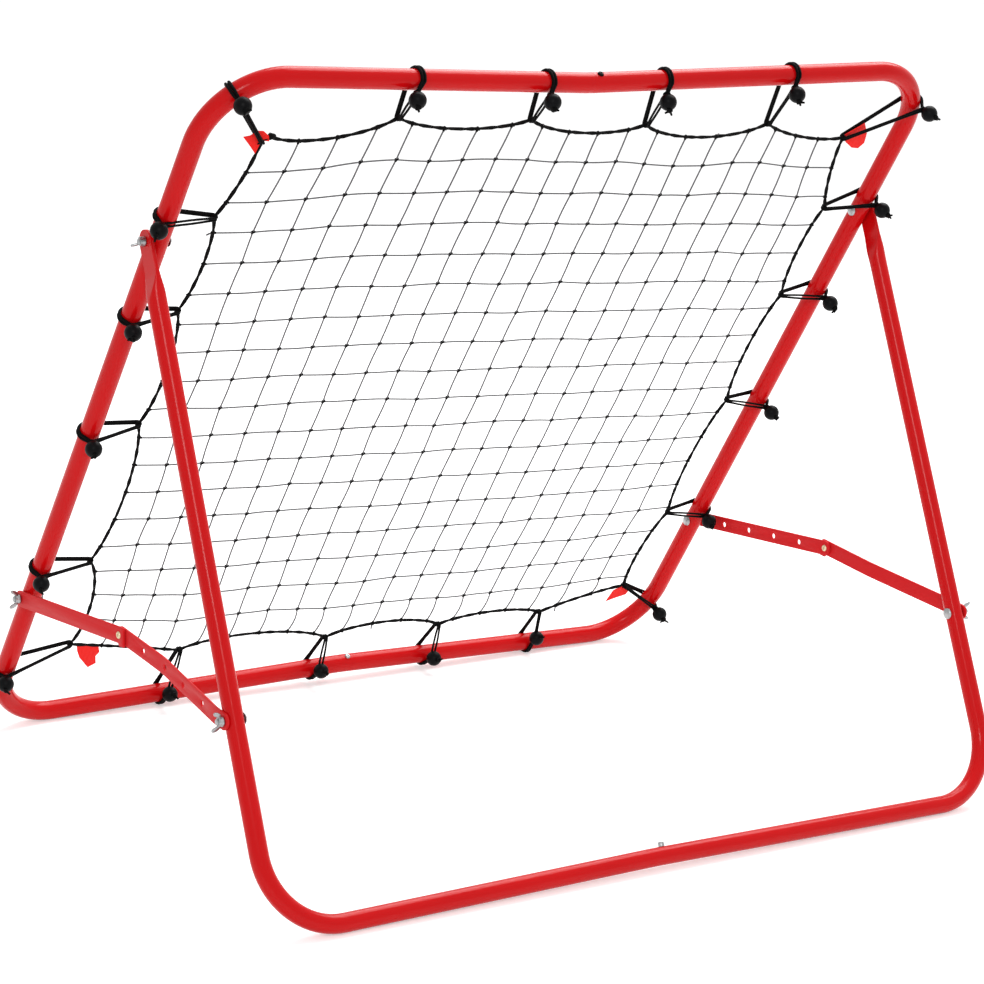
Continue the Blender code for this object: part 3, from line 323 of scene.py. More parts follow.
def plated_steel(name, dull, bright, roughness):
    """Plating on turned or pressed steel. It mirrors the room, blurred by clouds some 8 mm across
    and by scratches, which are drawn coarser than they are."""
    finish, tree, place = new_finish(name)
    cloud, tint = mottled(tree, place, CLOUD_LENGTH, dull, bright, 4.0)
    scratch = add_node(tree, "ShaderNodeTexNoise",
                       {"Vector": place, "Scale": 1 / SCRATCH_LENGTH, "Detail": 2.0,
                        "Distortion": 1.5})
    rough = add_node(tree, "ShaderNodeMapRange",
                     {"Value": cloud, "To Min": roughness - 0.08, "To Max": roughness + 0.1})
    cover(tree, scratch.outputs["Fac"], 0.15, 0.0001, {
        "Base Color": tint, "Metallic": 1.0, "Roughness": rough.outputs["Result"]})
    return finish


def turned(profile, steps=24):
    """A shape turned about Z. The profile holds (radius, height), from the axis round."""
    shape = bmesh.new()
    corners = [shape.verts.new((radius, 0.0, height)) for radius, height in profile]
    edges = [shape.edges.new(pair) for pair in zip(corners, corners[1:])]
    bmesh.ops.spin(shape, geom=corners + edges, cent=(0.0, 0.0, 0.0), axis=(0.0, 0.0, 1.0),
                   angle=math.tau, steps=steps, use_merge=True)
    bmesh.ops.remove_doubles(shape, verts=shape.verts, dist=1e-6)
    bmesh.ops.recalc_face_normals(shape, faces=shape.faces)
    return shape


def thread(radius, start, end):
    """Profile points of a screw thread, from one height to another."""
    turns = max(1, round(abs(end - start) / THREAD_PITCH))
    step = (end - start) / turns
    return [(radius - depth, start + step * (i + share)) for i in range(turns)
            for share, depth in ((0.0, 0.0), (0.5, THREAD_DEPTH))] + [(radius, end)]


zinc = plated_steel("bright_zinc_plate", "#87898B", "#B4B6B6", 0.32)
black_oxide = plated_steel("black_oxide_steel", "#141110", "#1E1A18", 0.5)
for name, plane, x, y, body, head, plating in (
        ("net_top_joint_screw", net_plane, TOP_SEAM_X - SCREW_OFFSET,
         NET_LENGTH - TOP_BAR_BOW + NET_TUBE_RADIUS, "net_frame", LOW_HEAD, black_oxide),
        ("net_bottom_joint_screw", net_plane, BOTTOM_SEAM_X - SCREW_OFFSET,
         BOTTOM_BAR_BOW + NET_TUBE_RADIUS, "net_frame", LOW_HEAD, zinc),
        ("support_joint_screw", support_plane, SUPPORT_SEAM_X - SCREW_OFFSET,
         SUPPORT_BAR_BOW - SUPPORT_LENGTH + SUPPORT_TUBE_RADIUS, "support", HIGH_HEAD, zinc)):
    screw_profile = [(0.0, head - 0.0012), (RECESS, head - 0.0011), (RECESS * 1.5, head - 0.0001),
                     (0.55 * SCREW_HEAD_RADIUS, head), (0.85 * SCREW_HEAD_RADIUS, head - 0.0004),
                     (SCREW_HEAD_RADIUS, head - 0.0013), (SCREW_HEAD_RADIUS, 0.0)]
    shape = turned(screw_profile + thread(SCREW_RADIUS, 0.0, -SCREW_LENGTH)
                   + [(0.0, -SCREW_TIP)])
    seat = Matrix.Translation((x, y, 0.0)) @ Matrix.Rotation(-math.pi / 2, 4, "X")
    add_piece(f"{name}_head", shape, [plating], plane @ seat, body, [name])


# Brace straps: 18 x 2.5 mm steel strip, blanked, drilled and coated satin red. Two a side meet at
# the elbow. The strap on the leg is set sideways to reach the one on the net frame. The strap
# without adjusting holes has a lip, which stops the elbow just past straight.
STRAP_HALF_WIDTH = 0.009
STRAP_THICKNESS = 0.0025
HOLE_PITCH = 0.048
HOLE_STRAP = 0.240
PLAIN_STRAP = 0.22952
SET_START, SET_END = 0.016, 0.150
SET_BEND = 0.006           # half the length over which a set bends
SET_STEPS = 4              # in that half
SEAT_GAP = 0.0003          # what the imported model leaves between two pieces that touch
STRAP_HEEL = 0.010
LIP_LENGTH, LIP_DEPTH = 0.012, 0.003
BOLT_HOLE = 0.0033
RIVET_HOLE = 0.0027
STRAP_EDGE = 0.0004        # rounding that blanking and powder leave on an edge
strap_coat = powder_coat("satin_red_powder_coat", "#CE1C20", "#D8262A", 0.42, 0.08)


def arc(middle, radius, start, end, steps=12):
    """Points on an arc, between two angles in degrees."""
    turns = [math.radians(start + (end - start) * i / steps) for i in range(steps + 1)]
    return [(middle + radius * math.cos(a), radius * math.sin(a)) for a in turns]


def set_height(x, rise):
    """How far a set strap has moved sideways at this distance from its bolt."""
    spots = [x + SET_BEND * i / SET_STEPS for i in range(-SET_STEPS, SET_STEPS + 1)]
    shares = [min(1.0, max(0.0, (spot - SET_START) / (SET_END - SET_START))) for spot in spots]
    return rise * sum(shares) / len(shares)


def strap_shape(length, holes, lip, rise):
    """A strap in its own frame: bolt at the origin, rivet along X, outer face towards Z."""
    half = STRAP_HALF_WIDTH
    outline = arc(0.0, half, 90, 270)
    if lip:
        end = length + STRAP_HEEL
        outline += [(end - LIP_LENGTH, -half), (end - LIP_LENGTH + LIP_DEPTH, -half - LIP_DEPTH),
                    (end - 0.001, -half - LIP_DEPTH), (end, -half - LIP_DEPTH + 0.001),
                    (end, half - 0.003), (end - 0.001, half - 0.001), (end - 0.003, half)]
    else:
        outline += arc(length, half, -90, 90)
    shape = bmesh.new()
    corners = [shape.verts.new((x, y, 0.0)) for x, y in outline]
    for pair in zip(corners, corners[1:] + corners[:1]):
        shape.edges.new(pair)
    for place, radius in holes:
        bmesh.ops.create_circle(shape, segments=20, radius=radius,
                                matrix=Matrix.Translation((place, 0.0, 0.0)))
    bmesh.ops.triangle_fill(shape, edges=shape.edges[:], use_beauty=True)
    bmesh.ops.solidify(shape, geom=shape.faces[:], thickness=STRAP_THICKNESS)
    bmesh.ops.recalc_face_normals(shape, faces=shape.faces)
    low = min(corner.co.z for corner in shape.verts)
    bmesh.ops.translate(shape, verts=shape.verts, vec=(0.0, 0.0, -low))
    rims = [edge for edge in shape.edges if edge.calc_face_angle(0.0) > 1.0
            and abs(edge.verts[0].co.z - edge.verts[1].co.z) < 1e-6]
    bmesh.ops.bevel(shape, geom=rims, offset=STRAP_EDGE, offset_type="OFFSET", segments=2,
                    profile=0.5, affect="EDGES", material=-1, clamp_overlap=True)
    if rise:
        for middle in (SET_START, SET_END):
            for i in range(-SET_STEPS - 1, SET_STEPS + 1):
                spot = middle + SET_BEND * (i + 0.5) / SET_STEPS
                everything = shape.verts[:] + shape.edges[:] + shape.faces[:]
                bmesh.ops.bisect_plane(shape, geom=everything, plane_co=(spot, 0.0, 0.0),
                                       plane_no=(1.0, 0.0, 0.0))
        for corner in shape.verts:
            corner.co.z += set_height(corner.co.x, rise)
    return shape


def out_of_frame(side, out, y, z, tilt):
    """A frame whose Z points out of the rebounder, and whose X leans this far in the YZ plane."""
    along = Vector((0.0, math.cos(tilt), math.sin(tilt)))
    outward = Vector((side, 0.0, 0.0))
    turn = Matrix((along, outward.cross(along), outward)).transposed().to_4x4()
    return Matrix.Translation((side * out, y, z)) @ turn


NET_BOLT = (-0.234918, 0.184354)
LEG_BOLT = (0.232451, 0.200133)
ELBOWS = {"left": (-0.00720, 0.21305), "right": (0.00332, 0.21341)}
NET_STRAP_OUT = 0.4803
LEG_STRAP_OUT = 0.4926
plain_holes = [(0.0, BOLT_HOLE), (PLAIN_STRAP, RIVET_HOLE)]
adjusting_holes = [(HOLE_PITCH * i, BOLT_HOLE) for i in range(5)] + [(HOLE_STRAP, RIVET_HOLE)]
strap_frames, strap_tilts = {}, {}
for word, side in SIDES.items():
    plain_on_net = side > 0
    for end, (y, z), plain, out in (("net", NET_BOLT, plain_on_net, NET_STRAP_OUT),
                                    ("leg", LEG_BOLT, not plain_on_net, LEG_STRAP_OUT)):
        elbow = ELBOWS[word]
        tilt = strap_tilts[word, end] = math.atan2(elbow[1] - z, elbow[0] - y)
        rise = 0.0
        if end == "leg":
            lap = STRAP_THICKNESS + SEAT_GAP
            rise = NET_STRAP_OUT - LEG_STRAP_OUT + (lap if plain else -lap)
        length, holes = (PLAIN_STRAP, plain_holes) if plain else (HOLE_STRAP, adjusting_holes)
        shape = strap_shape(length, holes, plain, rise)
        here = out_of_frame(side, out, y, z, tilt)
        strap_frames[word, end] = here, length, rise
        add_piece(f"strap_{end}_{word}", shape, [strap_coat], here, f"brace_{word}_{end}_half",
                  [f"brace_{word}_{end}_strap"], 30)


# Elbow rivets: hollow brass-plated steel, rolled over on both faces, so that each strap keeps its
# own end of the rivet when the brace folds.
RIVET_RADIUS = 0.0025
RIVET_HEAD_RADIUS = 0.004
RIVET_HEAD_HEIGHT = 0.0015
RIVET_BORE = 0.0012
RIVET_SHANK = 0.0027
brass = plated_steel("brass_plate", "#B8A47E", "#DCCDAE", 0.3)
rivet_profile = [(0.0, 0.2 * RIVET_HEAD_HEIGHT), (RIVET_BORE, 0.25 * RIVET_HEAD_HEIGHT),
                 (1.2 * RIVET_BORE, 0.8 * RIVET_HEAD_HEIGHT),
                 (0.5 * RIVET_HEAD_RADIUS, RIVET_HEAD_HEIGHT),
                 (0.75 * RIVET_HEAD_RADIUS, 0.88 * RIVET_HEAD_HEIGHT),
                 (0.95 * RIVET_HEAD_RADIUS, 0.45 * RIVET_HEAD_HEIGHT), (RIVET_HEAD_RADIUS, 0.0),
                 (RIVET_RADIUS, 0.0), (RIVET_RADIUS, -RIVET_SHANK), (0.0, -RIVET_SHANK)]
for word, side in SIDES.items():
    for end in ("net", "leg"):
        here, length, rise = strap_frames[word, end]
        outer = end == ("net" if side > 0 else "leg")
        shape = turned(rivet_profile)
        if not outer:
            bmesh.ops.rotate(shape, verts=shape.verts, matrix=Matrix.Rotation(math.pi, 3, "X"))
        face = rise + (STRAP_THICKNESS if outer else 0.0)
        seat = Matrix.Translation((length, 0.0, face))
        half = "outer" if outer else "inner"
        add_piece(f"rivet_{half}_{word}", shape, [brass], here @ seat,
                  f"brace_{word}_{end}_half", [f"elbow_rivet_{word}_{half}"])


# Bolts and wing nuts: M6, zinc plated. A dome head sits on the inner side of each tube, and a cast
# wing nut on the outer side clamps what lies between. Two pivots and four brace ends have one.
BOLT_RADIUS = 0.003
BOLT_HEAD_RADIUS = 0.0065
BOLT_HEAD_HEIGHT = 0.0033
BOLT_THREAD = 0.010
BOLT_PROUD = 0.0018
CHAMFER = 0.0004
NUT_HEIGHT = 0.0055
NUT_FOOT_RADIUS = 0.0052
NUT_TOP_RADIUS = 0.0042
WING_SPAN = 0.011
WING_HEIGHT = 0.011
WING_THICKNESS = 0.002
WING_EDGE = 0.0006         # rounding of a cast edge
# A wing's outline, in shares of the span and the height.
WING = [(0.30, 0.10), (0.55, 0.12), (0.80, 0.32), (0.95, 0.58), (1.0, 0.80), (0.96, 0.94),
        (0.85, 1.0), (0.72, 0.97), (0.60, 0.84), (0.50, 0.62), (0.40, 0.46), (0.30, 0.42)]
WING_TURNS = {"pivot": 35, "brace_net": 80, "brace_leg": 86}


def bolt_shape(grip):
    """A bolt along Z, with its head's underside at 0 and this length from there to its tip."""
    radius, rise = BOLT_HEAD_RADIUS, BOLT_HEAD_HEIGHT
    dome = [(radius * math.sin(math.radians(a)), -rise * math.cos(math.radians(a)) ** 1.3)
            for a in (0, 15, 30, 45, 60, 75, 86)]
    shank = [(radius, 0.0), (BOLT_RADIUS, 0.0)]
    tip = thread(BOLT_RADIUS, grip - BOLT_THREAD, grip - CHAMFER)
    return turned(dome + shank + tip + [(0.8 * BOLT_RADIUS, grip), (0.0, grip)])


def wing_nut_shape():
    """A wing nut on Z = 0, with its two wings along X."""
    collar = turned([(BOLT_RADIUS, 0.0), (0.94 * NUT_FOOT_RADIUS, 0.0),
                     (NUT_FOOT_RADIUS, 0.0003), (NUT_FOOT_RADIUS, 0.0012),
                     (NUT_TOP_RADIUS + 0.0003, 0.0026), (NUT_TOP_RADIUS, NUT_HEIGHT - CHAMFER),
                     (NUT_TOP_RADIUS - CHAMFER, NUT_HEIGHT),
                     (BOLT_RADIUS + CHAMFER / 2, NUT_HEIGHT),
                     (BOLT_RADIUS, NUT_HEIGHT - CHAMFER), (BOLT_RADIUS, 0.0)], 20)
    for way in (1, -1):
        corners = [collar.verts.new((way * x * WING_SPAN, -WING_THICKNESS / 2, z * WING_HEIGHT))
                   for x, z in WING]
        face = collar.faces.new(corners)
        made = bmesh.ops.extrude_face_region(collar, geom=[face], use_keep_orig=True)["geom"]
        far = new_corners(made)
        bmesh.ops.translate(collar, verts=far, vec=(0.0, WING_THICKNESS, 0.0))
        wing = [f for f in collar.faces if set(f.verts) <= set(corners) | set(far)]
        bmesh.ops.recalc_face_normals(collar, faces=wing)
        rims = [edge for edge in {e for f in wing for e in f.edges}
                if abs(edge.verts[0].co.y - edge.verts[1].co.y) < 1e-6]
        bmesh.ops.bevel(collar, geom=rims, offset=WING_EDGE, offset_type="OFFSET", segments=2,
                        profile=0.5, affect="EDGES", material=-1, clamp_overlap=True)
    return collar


for word, side in SIDES.items():
    for place, (y, z), tube, radius, clamped, tilt, body in (
            ("pivot", PIVOT, NET_HALF_WIDTH, NET_TUBE_RADIUS, 2 * SPADE_HALF_THICKNESS, 0.0,
             "net_frame"),
            ("brace_net", NET_BOLT, NET_HALF_WIDTH, NET_TUBE_RADIUS, STRAP_THICKNESS,
             strap_tilts[word, "net"], "net_frame"),
            ("brace_leg", LEG_BOLT, SUPPORT_HALF_WIDTH, SUPPORT_TUBE_RADIUS, STRAP_THICKNESS,
             strap_tilts[word, "leg"], "support")):
        grip = 2 * radius + clamped + 2 * SEAT_GAP
        here = out_of_frame(side, tube - radius, y, z, tilt)
        add_piece(f"bolt_{place}_{word}", bolt_shape(grip + NUT_HEIGHT + BOLT_PROUD), [zinc], here,
                  body, [f"{place}_{word}_bolt"])
        seat = (Matrix.Translation((0.0, 0.0, grip + SEAT_GAP))
                @ Matrix.Rotation(math.radians(WING_TURNS[place]), 4, "Z"))
        nut = f"{place}_{word}_wing_nut"
        add_piece(f"wings_{place}_{word}", wing_nut_shape(), [zinc], here @ seat, nut, [nut],
                  30)


# The border rope: two black polyester cords, loosely laid round each other and knotted into one
# closed loop beside the upper left corner. It hangs between the ties, which draw it out to points.
CORD_RADIUS = 0.0014
LAY_RADIUS = 0.0008        # from the rope's middle to the middle of each cord
LAY_LENGTH = 0.041
ROPE_PITCH = 0.0026        # between the strands of a cord's yarn
FUZZ_LENGTH = 0.0008
HANG_POWER = 0.7           # 1 hangs as a parabola, less is steeper next to the ties
SPAN_STEPS = 20
COLUMNS, ROWS = 19, 18
NET_MIDDLE = Vector((0.0, NET_LENGTH / 2, 0.0))
ROPE_KNOT, ROPE_KNOT_SIZE = (0.3820, 0.8402), (0.0046, 0.0036, 0.0036)
# The points to which the ties pull the rope, across and up in the net's plane.
TOP_TIES = [(0.3921, 0.834), ROPE_KNOT, (0.2388, 0.8616), (0.0696, 0.8558), (-0.0875, 0.846),
            (-0.2603, 0.8439), (-0.3851, 0.8209)]
BOTTOM_TIES = [(0.3975, 0.1133), (0.2434, 0.0777), (0.038, 0.0648), (-0.1289, 0.0608),
               (-0.285, 0.0588), (-0.4087, 0.0899)]
LEFT_TIES = [TOP_TIES[0], (0.4146, 0.7381), (0.4172, 0.6139), (0.4141, 0.4545),
             (0.4112, 0.2488), BOTTOM_TIES[0]]
RIGHT_TIES = [TOP_TIES[-1], (-0.4133, 0.7168), (-0.4174, 0.5831), (-0.419, 0.4129),
              (-0.4187, 0.2211), BOTTOM_TIES[-1]]
# With each point the net cell at which it comes, and then how far the rope hangs inwards between
# each two. The lowest row of cells is short on the right.
ROPE_SIDES = {"top": (TOP_TIES, [0, 0.25, 3.5, 7.5, 11.5, 15.5, COLUMNS],
                      [0.0, 0.0150, 0.0145, 0.0157, 0.0195, 0.010]),
              "right": (RIGHT_TIES, [0, 2.4, 5.5, 9.5, 14.2, 17.4],
                        [0.006, 0.010, 0.012, 0.0125, 0.0105]),
              "bottom": (BOTTOM_TIES, [0, 3.5, 8.5, 12.5, 16.5, COLUMNS],
                         [0.001, 0.019, 0.0175, 0.013, 0.0045]),
              "left": (LEFT_TIES, [0, 2.5, 5.5, 9.5, 14.5, ROWS],
                       [0.0055, 0.010, 0.013, 0.0155, 0.016])}


def twisted_fibre(name, deep, bright, length, pitch, roughness):
    """Dyed polyester yarn. Its strands cross the cord slantwise, a pitch apart over the length
    that its UV map spans, and break up the light. The fuzz is drawn coarser than fibres are,
    which would be lost from the camera."""
    finish, tree, place = new_finish(name)
    parts = add_node(tree, "ShaderNodeSeparateXYZ", {"Vector": place.node.outputs["UV"]})
    along = add_node(tree, "ShaderNodeMath", {0: parts.outputs["X"], 1: length / (2 * pitch)},
                     operation="MULTIPLY")
    slant = add_node(tree, "ShaderNodeMath", {0: along.outputs[0], 1: parts.outputs["Y"]},
                     operation="ADD")
    phase = add_node(tree, "ShaderNodeMath", {0: slant.outputs[0], 1: 2 * math.tau},
                     operation="MULTIPLY")
    strand = add_node(tree, "ShaderNodeMath", {0: phase.outputs[0]}, operation="SINE")
    fuzz, tint = mottled(tree, place, FUZZ_LENGTH, deep, bright)
    height = add_node(tree, "ShaderNodeMath", {0: strand.outputs[0], 1: fuzz}, operation="ADD")
    cover(tree, height.outputs[0], 0.6, 0.0002, {
        "Base Color": tint, "Roughness": roughness, "IOR": 1.5, "Specular IOR Level": 0.07})
    return finish


def strands_shape(strands, radius, closed=False, sides=8, widths=None):
    """Round cords through lists of points, as one shape. Widths hold each point's share of the
    radius."""
    curve = bpy.data.curves.new("strands", "CURVE")
    curve.dimensions = "3D"
    curve.bevel_depth = radius
    curve.bevel_resolution = (sides - 4) // 2
    curve.use_fill_caps = True
    for points, shares in zip(strands, widths or [[1.0] * len(points) for points in strands]):
        line = curve.splines.new("POLY")
        line.points.add(len(points) - 1)
        for point, place, share in zip(line.points, points, shares):
            point.co = (*place, 1.0)
            point.radius = share
        line.use_cyclic_u = closed
    holder = bpy.data.objects.new("strands", curve)
    mesh = bpy.data.meshes.new_from_object(holder)
    shape = bmesh.new()
    shape.from_mesh(mesh)
    bpy.data.meshes.remove(mesh)
    bpy.data.objects.remove(holder)
    bpy.data.curves.remove(curve)
    return shape


def rope_point(side, station):
    """A point of the rope's middle, at a station counted in net cells."""
    ties, cells, hangs = ROPE_SIDES[side]
    station = min(station, cells[-1])
    span = max(i for i in range(len(hangs)) if cells[i] <= station)
    share = (station - cells[span]) / (cells[span + 1] - cells[span])
    start, end = (Vector((*place, 0.0)) for place in ties[span:span + 2])
    inward = Vector((start.y - end.y, end.x - start.x, 0.0)).normalized()
    if inward.dot(NET_MIDDLE - start) < 0:
        inward.negate()
    hang = hangs[span] * (4 * share * (1 - share)) ** HANG_POWER
    return start.lerp(end, share) + inward * hang


def stamp(shape, mesh, here):
    """Adds a copy of a mesh to a shape and sets it in its place. No operator does this, because
    one that runs on the whole net takes long."""
    before = len(shape.verts)
    shape.from_mesh(mesh)
    shape.verts.ensure_lookup_table()
    for corner in shape.verts[before:]:
        corner.co = here @ corner.co


def add_knot(shape, place, size, turn=0.0):
    """A small knot: a lump with the turns of the string across it."""
    stamp(shape, lump, Matrix.LocRotScale(place, Matrix.Rotation(turn, 3, "Z"), Vector(size)))


shape = bmesh.new()
bmesh.ops.create_uvsphere(shape, u_segments=8, v_segments=6, radius=1.0)
for corner in shape.verts:
    corner.co *= 1 + 0.16 * math.sin(5 * corner.co.x + 3 * corner.co.y)
lump = new_mesh("lump", shape)
rope_line = []
for word, ways in (("top", 1), ("right", 1), ("bottom", -1), ("left", -1)):
    cells = ROPE_SIDES[word][1]
    stations = []
    for start, end in zip(cells, cells[1:]):
        stations += [start + (end - start) * (1 - math.cos(math.pi * i / SPAN_STEPS)) / 2
                     for i in range(SPAN_STEPS)]
    stations.append(cells[-1])
    points = [rope_point(word, station) for station in stations][::ways]
    rope_line += points[:-1]
travelled = 0.0
cords = [[], []]
whole = sum((b - a).length for a, b in zip(rope_line, rope_line[1:] + rope_line[:1]))
turns = round(whole / LAY_LENGTH)
for i, here in enumerate(rope_line):
    ahead = rope_line[(i + 1) % len(rope_line)]
    along = (ahead - rope_line[i - 1]).normalized()
    across = Vector((-along.y, along.x, 0.0))
    for number, cord in enumerate(cords):
        angle = math.tau * turns * travelled / whole + math.pi * number
        cord.append(here + LAY_RADIUS * (across * math.cos(angle)
                                         + Vector((0.0, 0.0, math.sin(angle)))))
    travelled += (ahead - here).length
rope_fibre = twisted_fibre("black_rope_yarn", "#050505", "#101011", whole, ROPE_PITCH, 0.75)
shape = strands_shape(cords, CORD_RADIUS, closed=True)
add_knot(shape, Vector((*ROPE_KNOT, 0.0)), ROPE_KNOT_SIZE, math.radians(-20))
add_piece("laid_rope", shape, [rope_fibre], net_plane, "net_frame", ["border_rope"],
          60)


# The net: thin black polyethylene twine, knotted by machine into 19 columns and 18 rows of square
# meshes some 42 mm wide. The strings are painted grey, a painted sheen for the light that their
# fuzz scatters, and their tight knots stay black. Inside, every knot settles between its four
# neighbours, and the pull of the ties dies away within a few rows.
STRING_RADIUS = 0.0009
STRING_BOW = 0.0007        # how far a string may stray from straight between two knots
BOTTOM_BOW = 0.0030        # how far the slack strings above the bottom rope hang to one side
TWINE_LENGTH = 0.80        # of a string on average, which its UV map spans
TWINE_PITCH = 0.0010
KNOT_SIZE = (0.0029, 0.0019, 0.0019)
KNOT_TURNS = (-25, -38, -50)
WHIPPING_SIZE = (0.0030, 0.0024, 0.0024)   # the turns that hold a string to the rope
THROAT_SIZE, THROAT_REACH = (0.0013, 0.0014, 0.0013), 0.0028   # the knot below them
PLAIN_SHARE = 0.2          # how far the pull of the rope reaches straight across the net
SETTLE_ROUNDS = 300
KNOT_DRIFT = 0.0010
TAIL_LENGTH = 0.0075       # cut ends of string that a few knots on the rope still have
TAIL_SHARE = 0.16          # of the knots that have one
drift = random.Random(7)
net_corners = [Vector((*ties[i], 0.0)) for ties in (TOP_TIES, BOTTOM_TIES) for i in (0, -1)]
knots = {}
for row in range(ROWS + 1):
    for column in range(COLUMNS + 1):
        across, down = column / COLUMNS, row / ROWS
        top, bottom = rope_point("top", column), rope_point("bottom", column)
        left, right = rope_point("left", row), rope_point("right", row)
        high, low = (start.lerp(end, across) for start, end in (net_corners[:2], net_corners[2:]))
        knots[column, row] = (top.lerp(bottom, down) + left.lerp(right, across)
                              - high.lerp(low, down))
blended = dict(knots)
inside = [(c, r) for c in range(1, COLUMNS) for r in range(1, ROWS)]
for _ in range(SETTLE_ROUNDS):
    for c, r in inside:
        knots[c, r] = (knots[c - 1, r] + knots[c + 1, r] + knots[c, r - 1] + knots[c, r + 1]) / 4
for key in inside:
    nudge = Vector((drift.uniform(-1, 1), drift.uniform(-1, 1), 0.0)) * KNOT_DRIFT
    knots[key] = knots[key].lerp(blended[key], PLAIN_SHARE) + nudge


def bowed(stops, last_bow=0.0):
    """A string through its knots. It bows a little to either side between each two of them."""
    line = [stops[0]]
    for start, end in zip(stops, stops[1:]):
        side = Vector((start.y - end.y, end.x - start.x, 0.0)).normalized()
        bow = drift.uniform(-1, 1) * STRING_BOW + (last_bow if end is stops[-1] else 0.0)
        line += [start.lerp(end, i / 5) + side * bow * math.sin(math.pi * i / 5)
                 for i in range(1, 5)]
        line.append(end)
    return line


strings = [bowed([knots[c, r] for r in range(ROWS + 1)], BOTTOM_BOW * drift.uniform(-1.0, -0.3))
           for c in range(1, COLUMNS)]
strings += [bowed([knots[c, r] for c in range(COLUMNS + 1)]) for r in range(1, ROWS)]
string_ends = [((c, r), (c, 1 if r == 0 else ROWS - 1)) for c in range(1, COLUMNS)
               for r in (0, ROWS)]
string_ends += [((c, r), (1 if c == 0 else COLUMNS - 1, r)) for r in range(1, ROWS)
                for c in (0, COLUMNS)]
for end, inner in string_ends:
    if drift.random() < TAIL_SHARE:
        loose = (knots[end] - knots[inner]).normalized() * TAIL_LENGTH * drift.uniform(0.6, 1.0)
        droop = Vector((drift.uniform(-0.3, 0.3), -0.5, drift.uniform(-0.3, 0.3))) * TAIL_LENGTH
        strings.append([knots[end], knots[end] + loose * 0.6 + droop * 0.3,
                        knots[end] + loose + droop])
shape = strands_shape(strings, STRING_RADIUS, sides=6)
string_faces = len(shape.faces)
for key in inside:
    add_knot(shape, knots[key], KNOT_SIZE, math.radians(drift.choice(KNOT_TURNS)))
for end, inner in string_ends:
    pull = (knots[inner] - knots[end]).normalized()
    turn = math.atan2(pull.x, -pull.y)
    add_knot(shape, knots[end], WHIPPING_SIZE, turn)
    add_knot(shape, knots[end] + pull * THROAT_REACH, THROAT_SIZE, turn)
shape.faces.ensure_lookup_table()
for face in shape.faces[string_faces:]:
    face.material_index = 1
# The strings' grey is painted sheen for the light their fuzz scatters; the twine itself is black.
twine = twisted_fibre("net_twine_painted_sheen", "#646466", "#7A7A7C", TWINE_LENGTH, TWINE_PITCH, 0.7)
tight_twine = twisted_fibre("tight_net_twine", "#060606", "#101011", TWINE_LENGTH, TWINE_PITCH,
                            0.6)
add_piece("knotted_net", shape, [twine, tight_twine], net_plane, "net_frame", ["rebound_net"],
          60)


# Ball ties: a loop of shock cord, rubber in a braided black sheath, hooked round the rope and
# carried round the tube. A moulded ball holds it behind, where its ends are knotted. The cord is
# thinner where it is stretched, and the floor presses it flat below the bottom bar.
ELASTIC_RADIUS = 0.0017
ELASTIC_LENGTH = 0.156     # of a strand on average, which its UV map spans
BRAID_PITCH = 0.0013
FRONT_SHARE, REAR_SHARE = 0.85, 0.74   # what the stretch leaves of the radius
STRAND_GAP = 0.0018        # from the middle of a tie to each of its strands
HOOK_RADIUS = 0.0033
NECK_RADIUS = 0.0030       # the turn of the loop under the ball
BALL_RADIUS = 0.0093
BALL_HOLE = 0.0019
NECK_GAP = 0.0010          # from that turn to a ball that lies beside the tube
KNOT_REACH = 0.0010        # from the ball to its knot's middle
BALL_KNOT_SIZE = (0.0031, 0.0027, 0.0034)
HITCH_SIZE = (0.0023, 0.0025, 0.0046)
END_LENGTHS = (0.0045, 0.0075)
BESIDE_TUBE = -0.012       # a ball no nearer the rope than this lies beside the tube
GRAIN_LENGTH, WEAR_LENGTH = 0.0007, 0.012
# How far towards -X the band round the tube stands from the ball.
BAND_SHIFT = {"tie_top_1": 0.010, "tie_top_2": 0.006, "tie_top_3": 0.006, "tie_top_4": 0.006}
# Where each ball's middle is: across, up and behind the net's plane. Last, how much further apart
# the strands stand halfway from the ball to the rope.
BALLS = {
    "tie_corner_top_left": (0.4472, 0.8989, 0.0262, 0.0),
    "tie_top_1": (0.246, 0.9027, 0.0262, 0.0012),
    "tie_top_2": (0.076, 0.8976, 0.0262, 0.0012),
    "tie_top_3": (-0.0785, 0.8944, 0.0252, 0.0012),
    "tie_top_4": (-0.2539, 0.9028, 0.0262, 0.0),
    "tie_corner_top_right": (-0.4691, 0.8722, 0.0257, 0.0),
    "tie_right_1": (-0.4762, 0.7305, 0.0262, 0.0),
    "tie_right_2": (-0.4727, 0.5877, 0.0267, 0.0012),
    "tie_right_3": (-0.4729, 0.410, 0.0267, 0.0012),
    "tie_right_4": (-0.4662, 0.2231, 0.0267, 0.0012),
    "tie_corner_bottom_right": (-0.4664, 0.0548, 0.0272, 0.0),
    "tie_bottom_4": (-0.287, 0.0269, 0.0156, 0.0),
    "tie_bottom_3": (-0.1258, 0.0242, 0.0226, 0.0012),
    "tie_bottom_2": (0.0406, 0.0288, 0.0211, 0.0012),
    "tie_bottom_1": (0.2478, 0.0244, 0.0201, 0.0012),
    "tie_corner_bottom_left": (0.4794, 0.0879, 0.0247, 0.0),
    "tie_left_4": (0.4797, 0.247, 0.0247, 0.0),
    "tie_left_3": (0.4759, 0.449, 0.0262, 0.0),
    "tie_left_2": (0.4776, 0.6098, 0.0247, 0.0),
    "tie_left_1": (0.4866, 0.7404, 0.0201, 0.0012),
}
# The rope's points in the same order, without its knot.
tie_points = (TOP_TIES[:1] + TOP_TIES[2:] + RIGHT_TIES[1:-1] + BOTTOM_TIES[::-1]
              + LEFT_TIES[-2:0:-1])


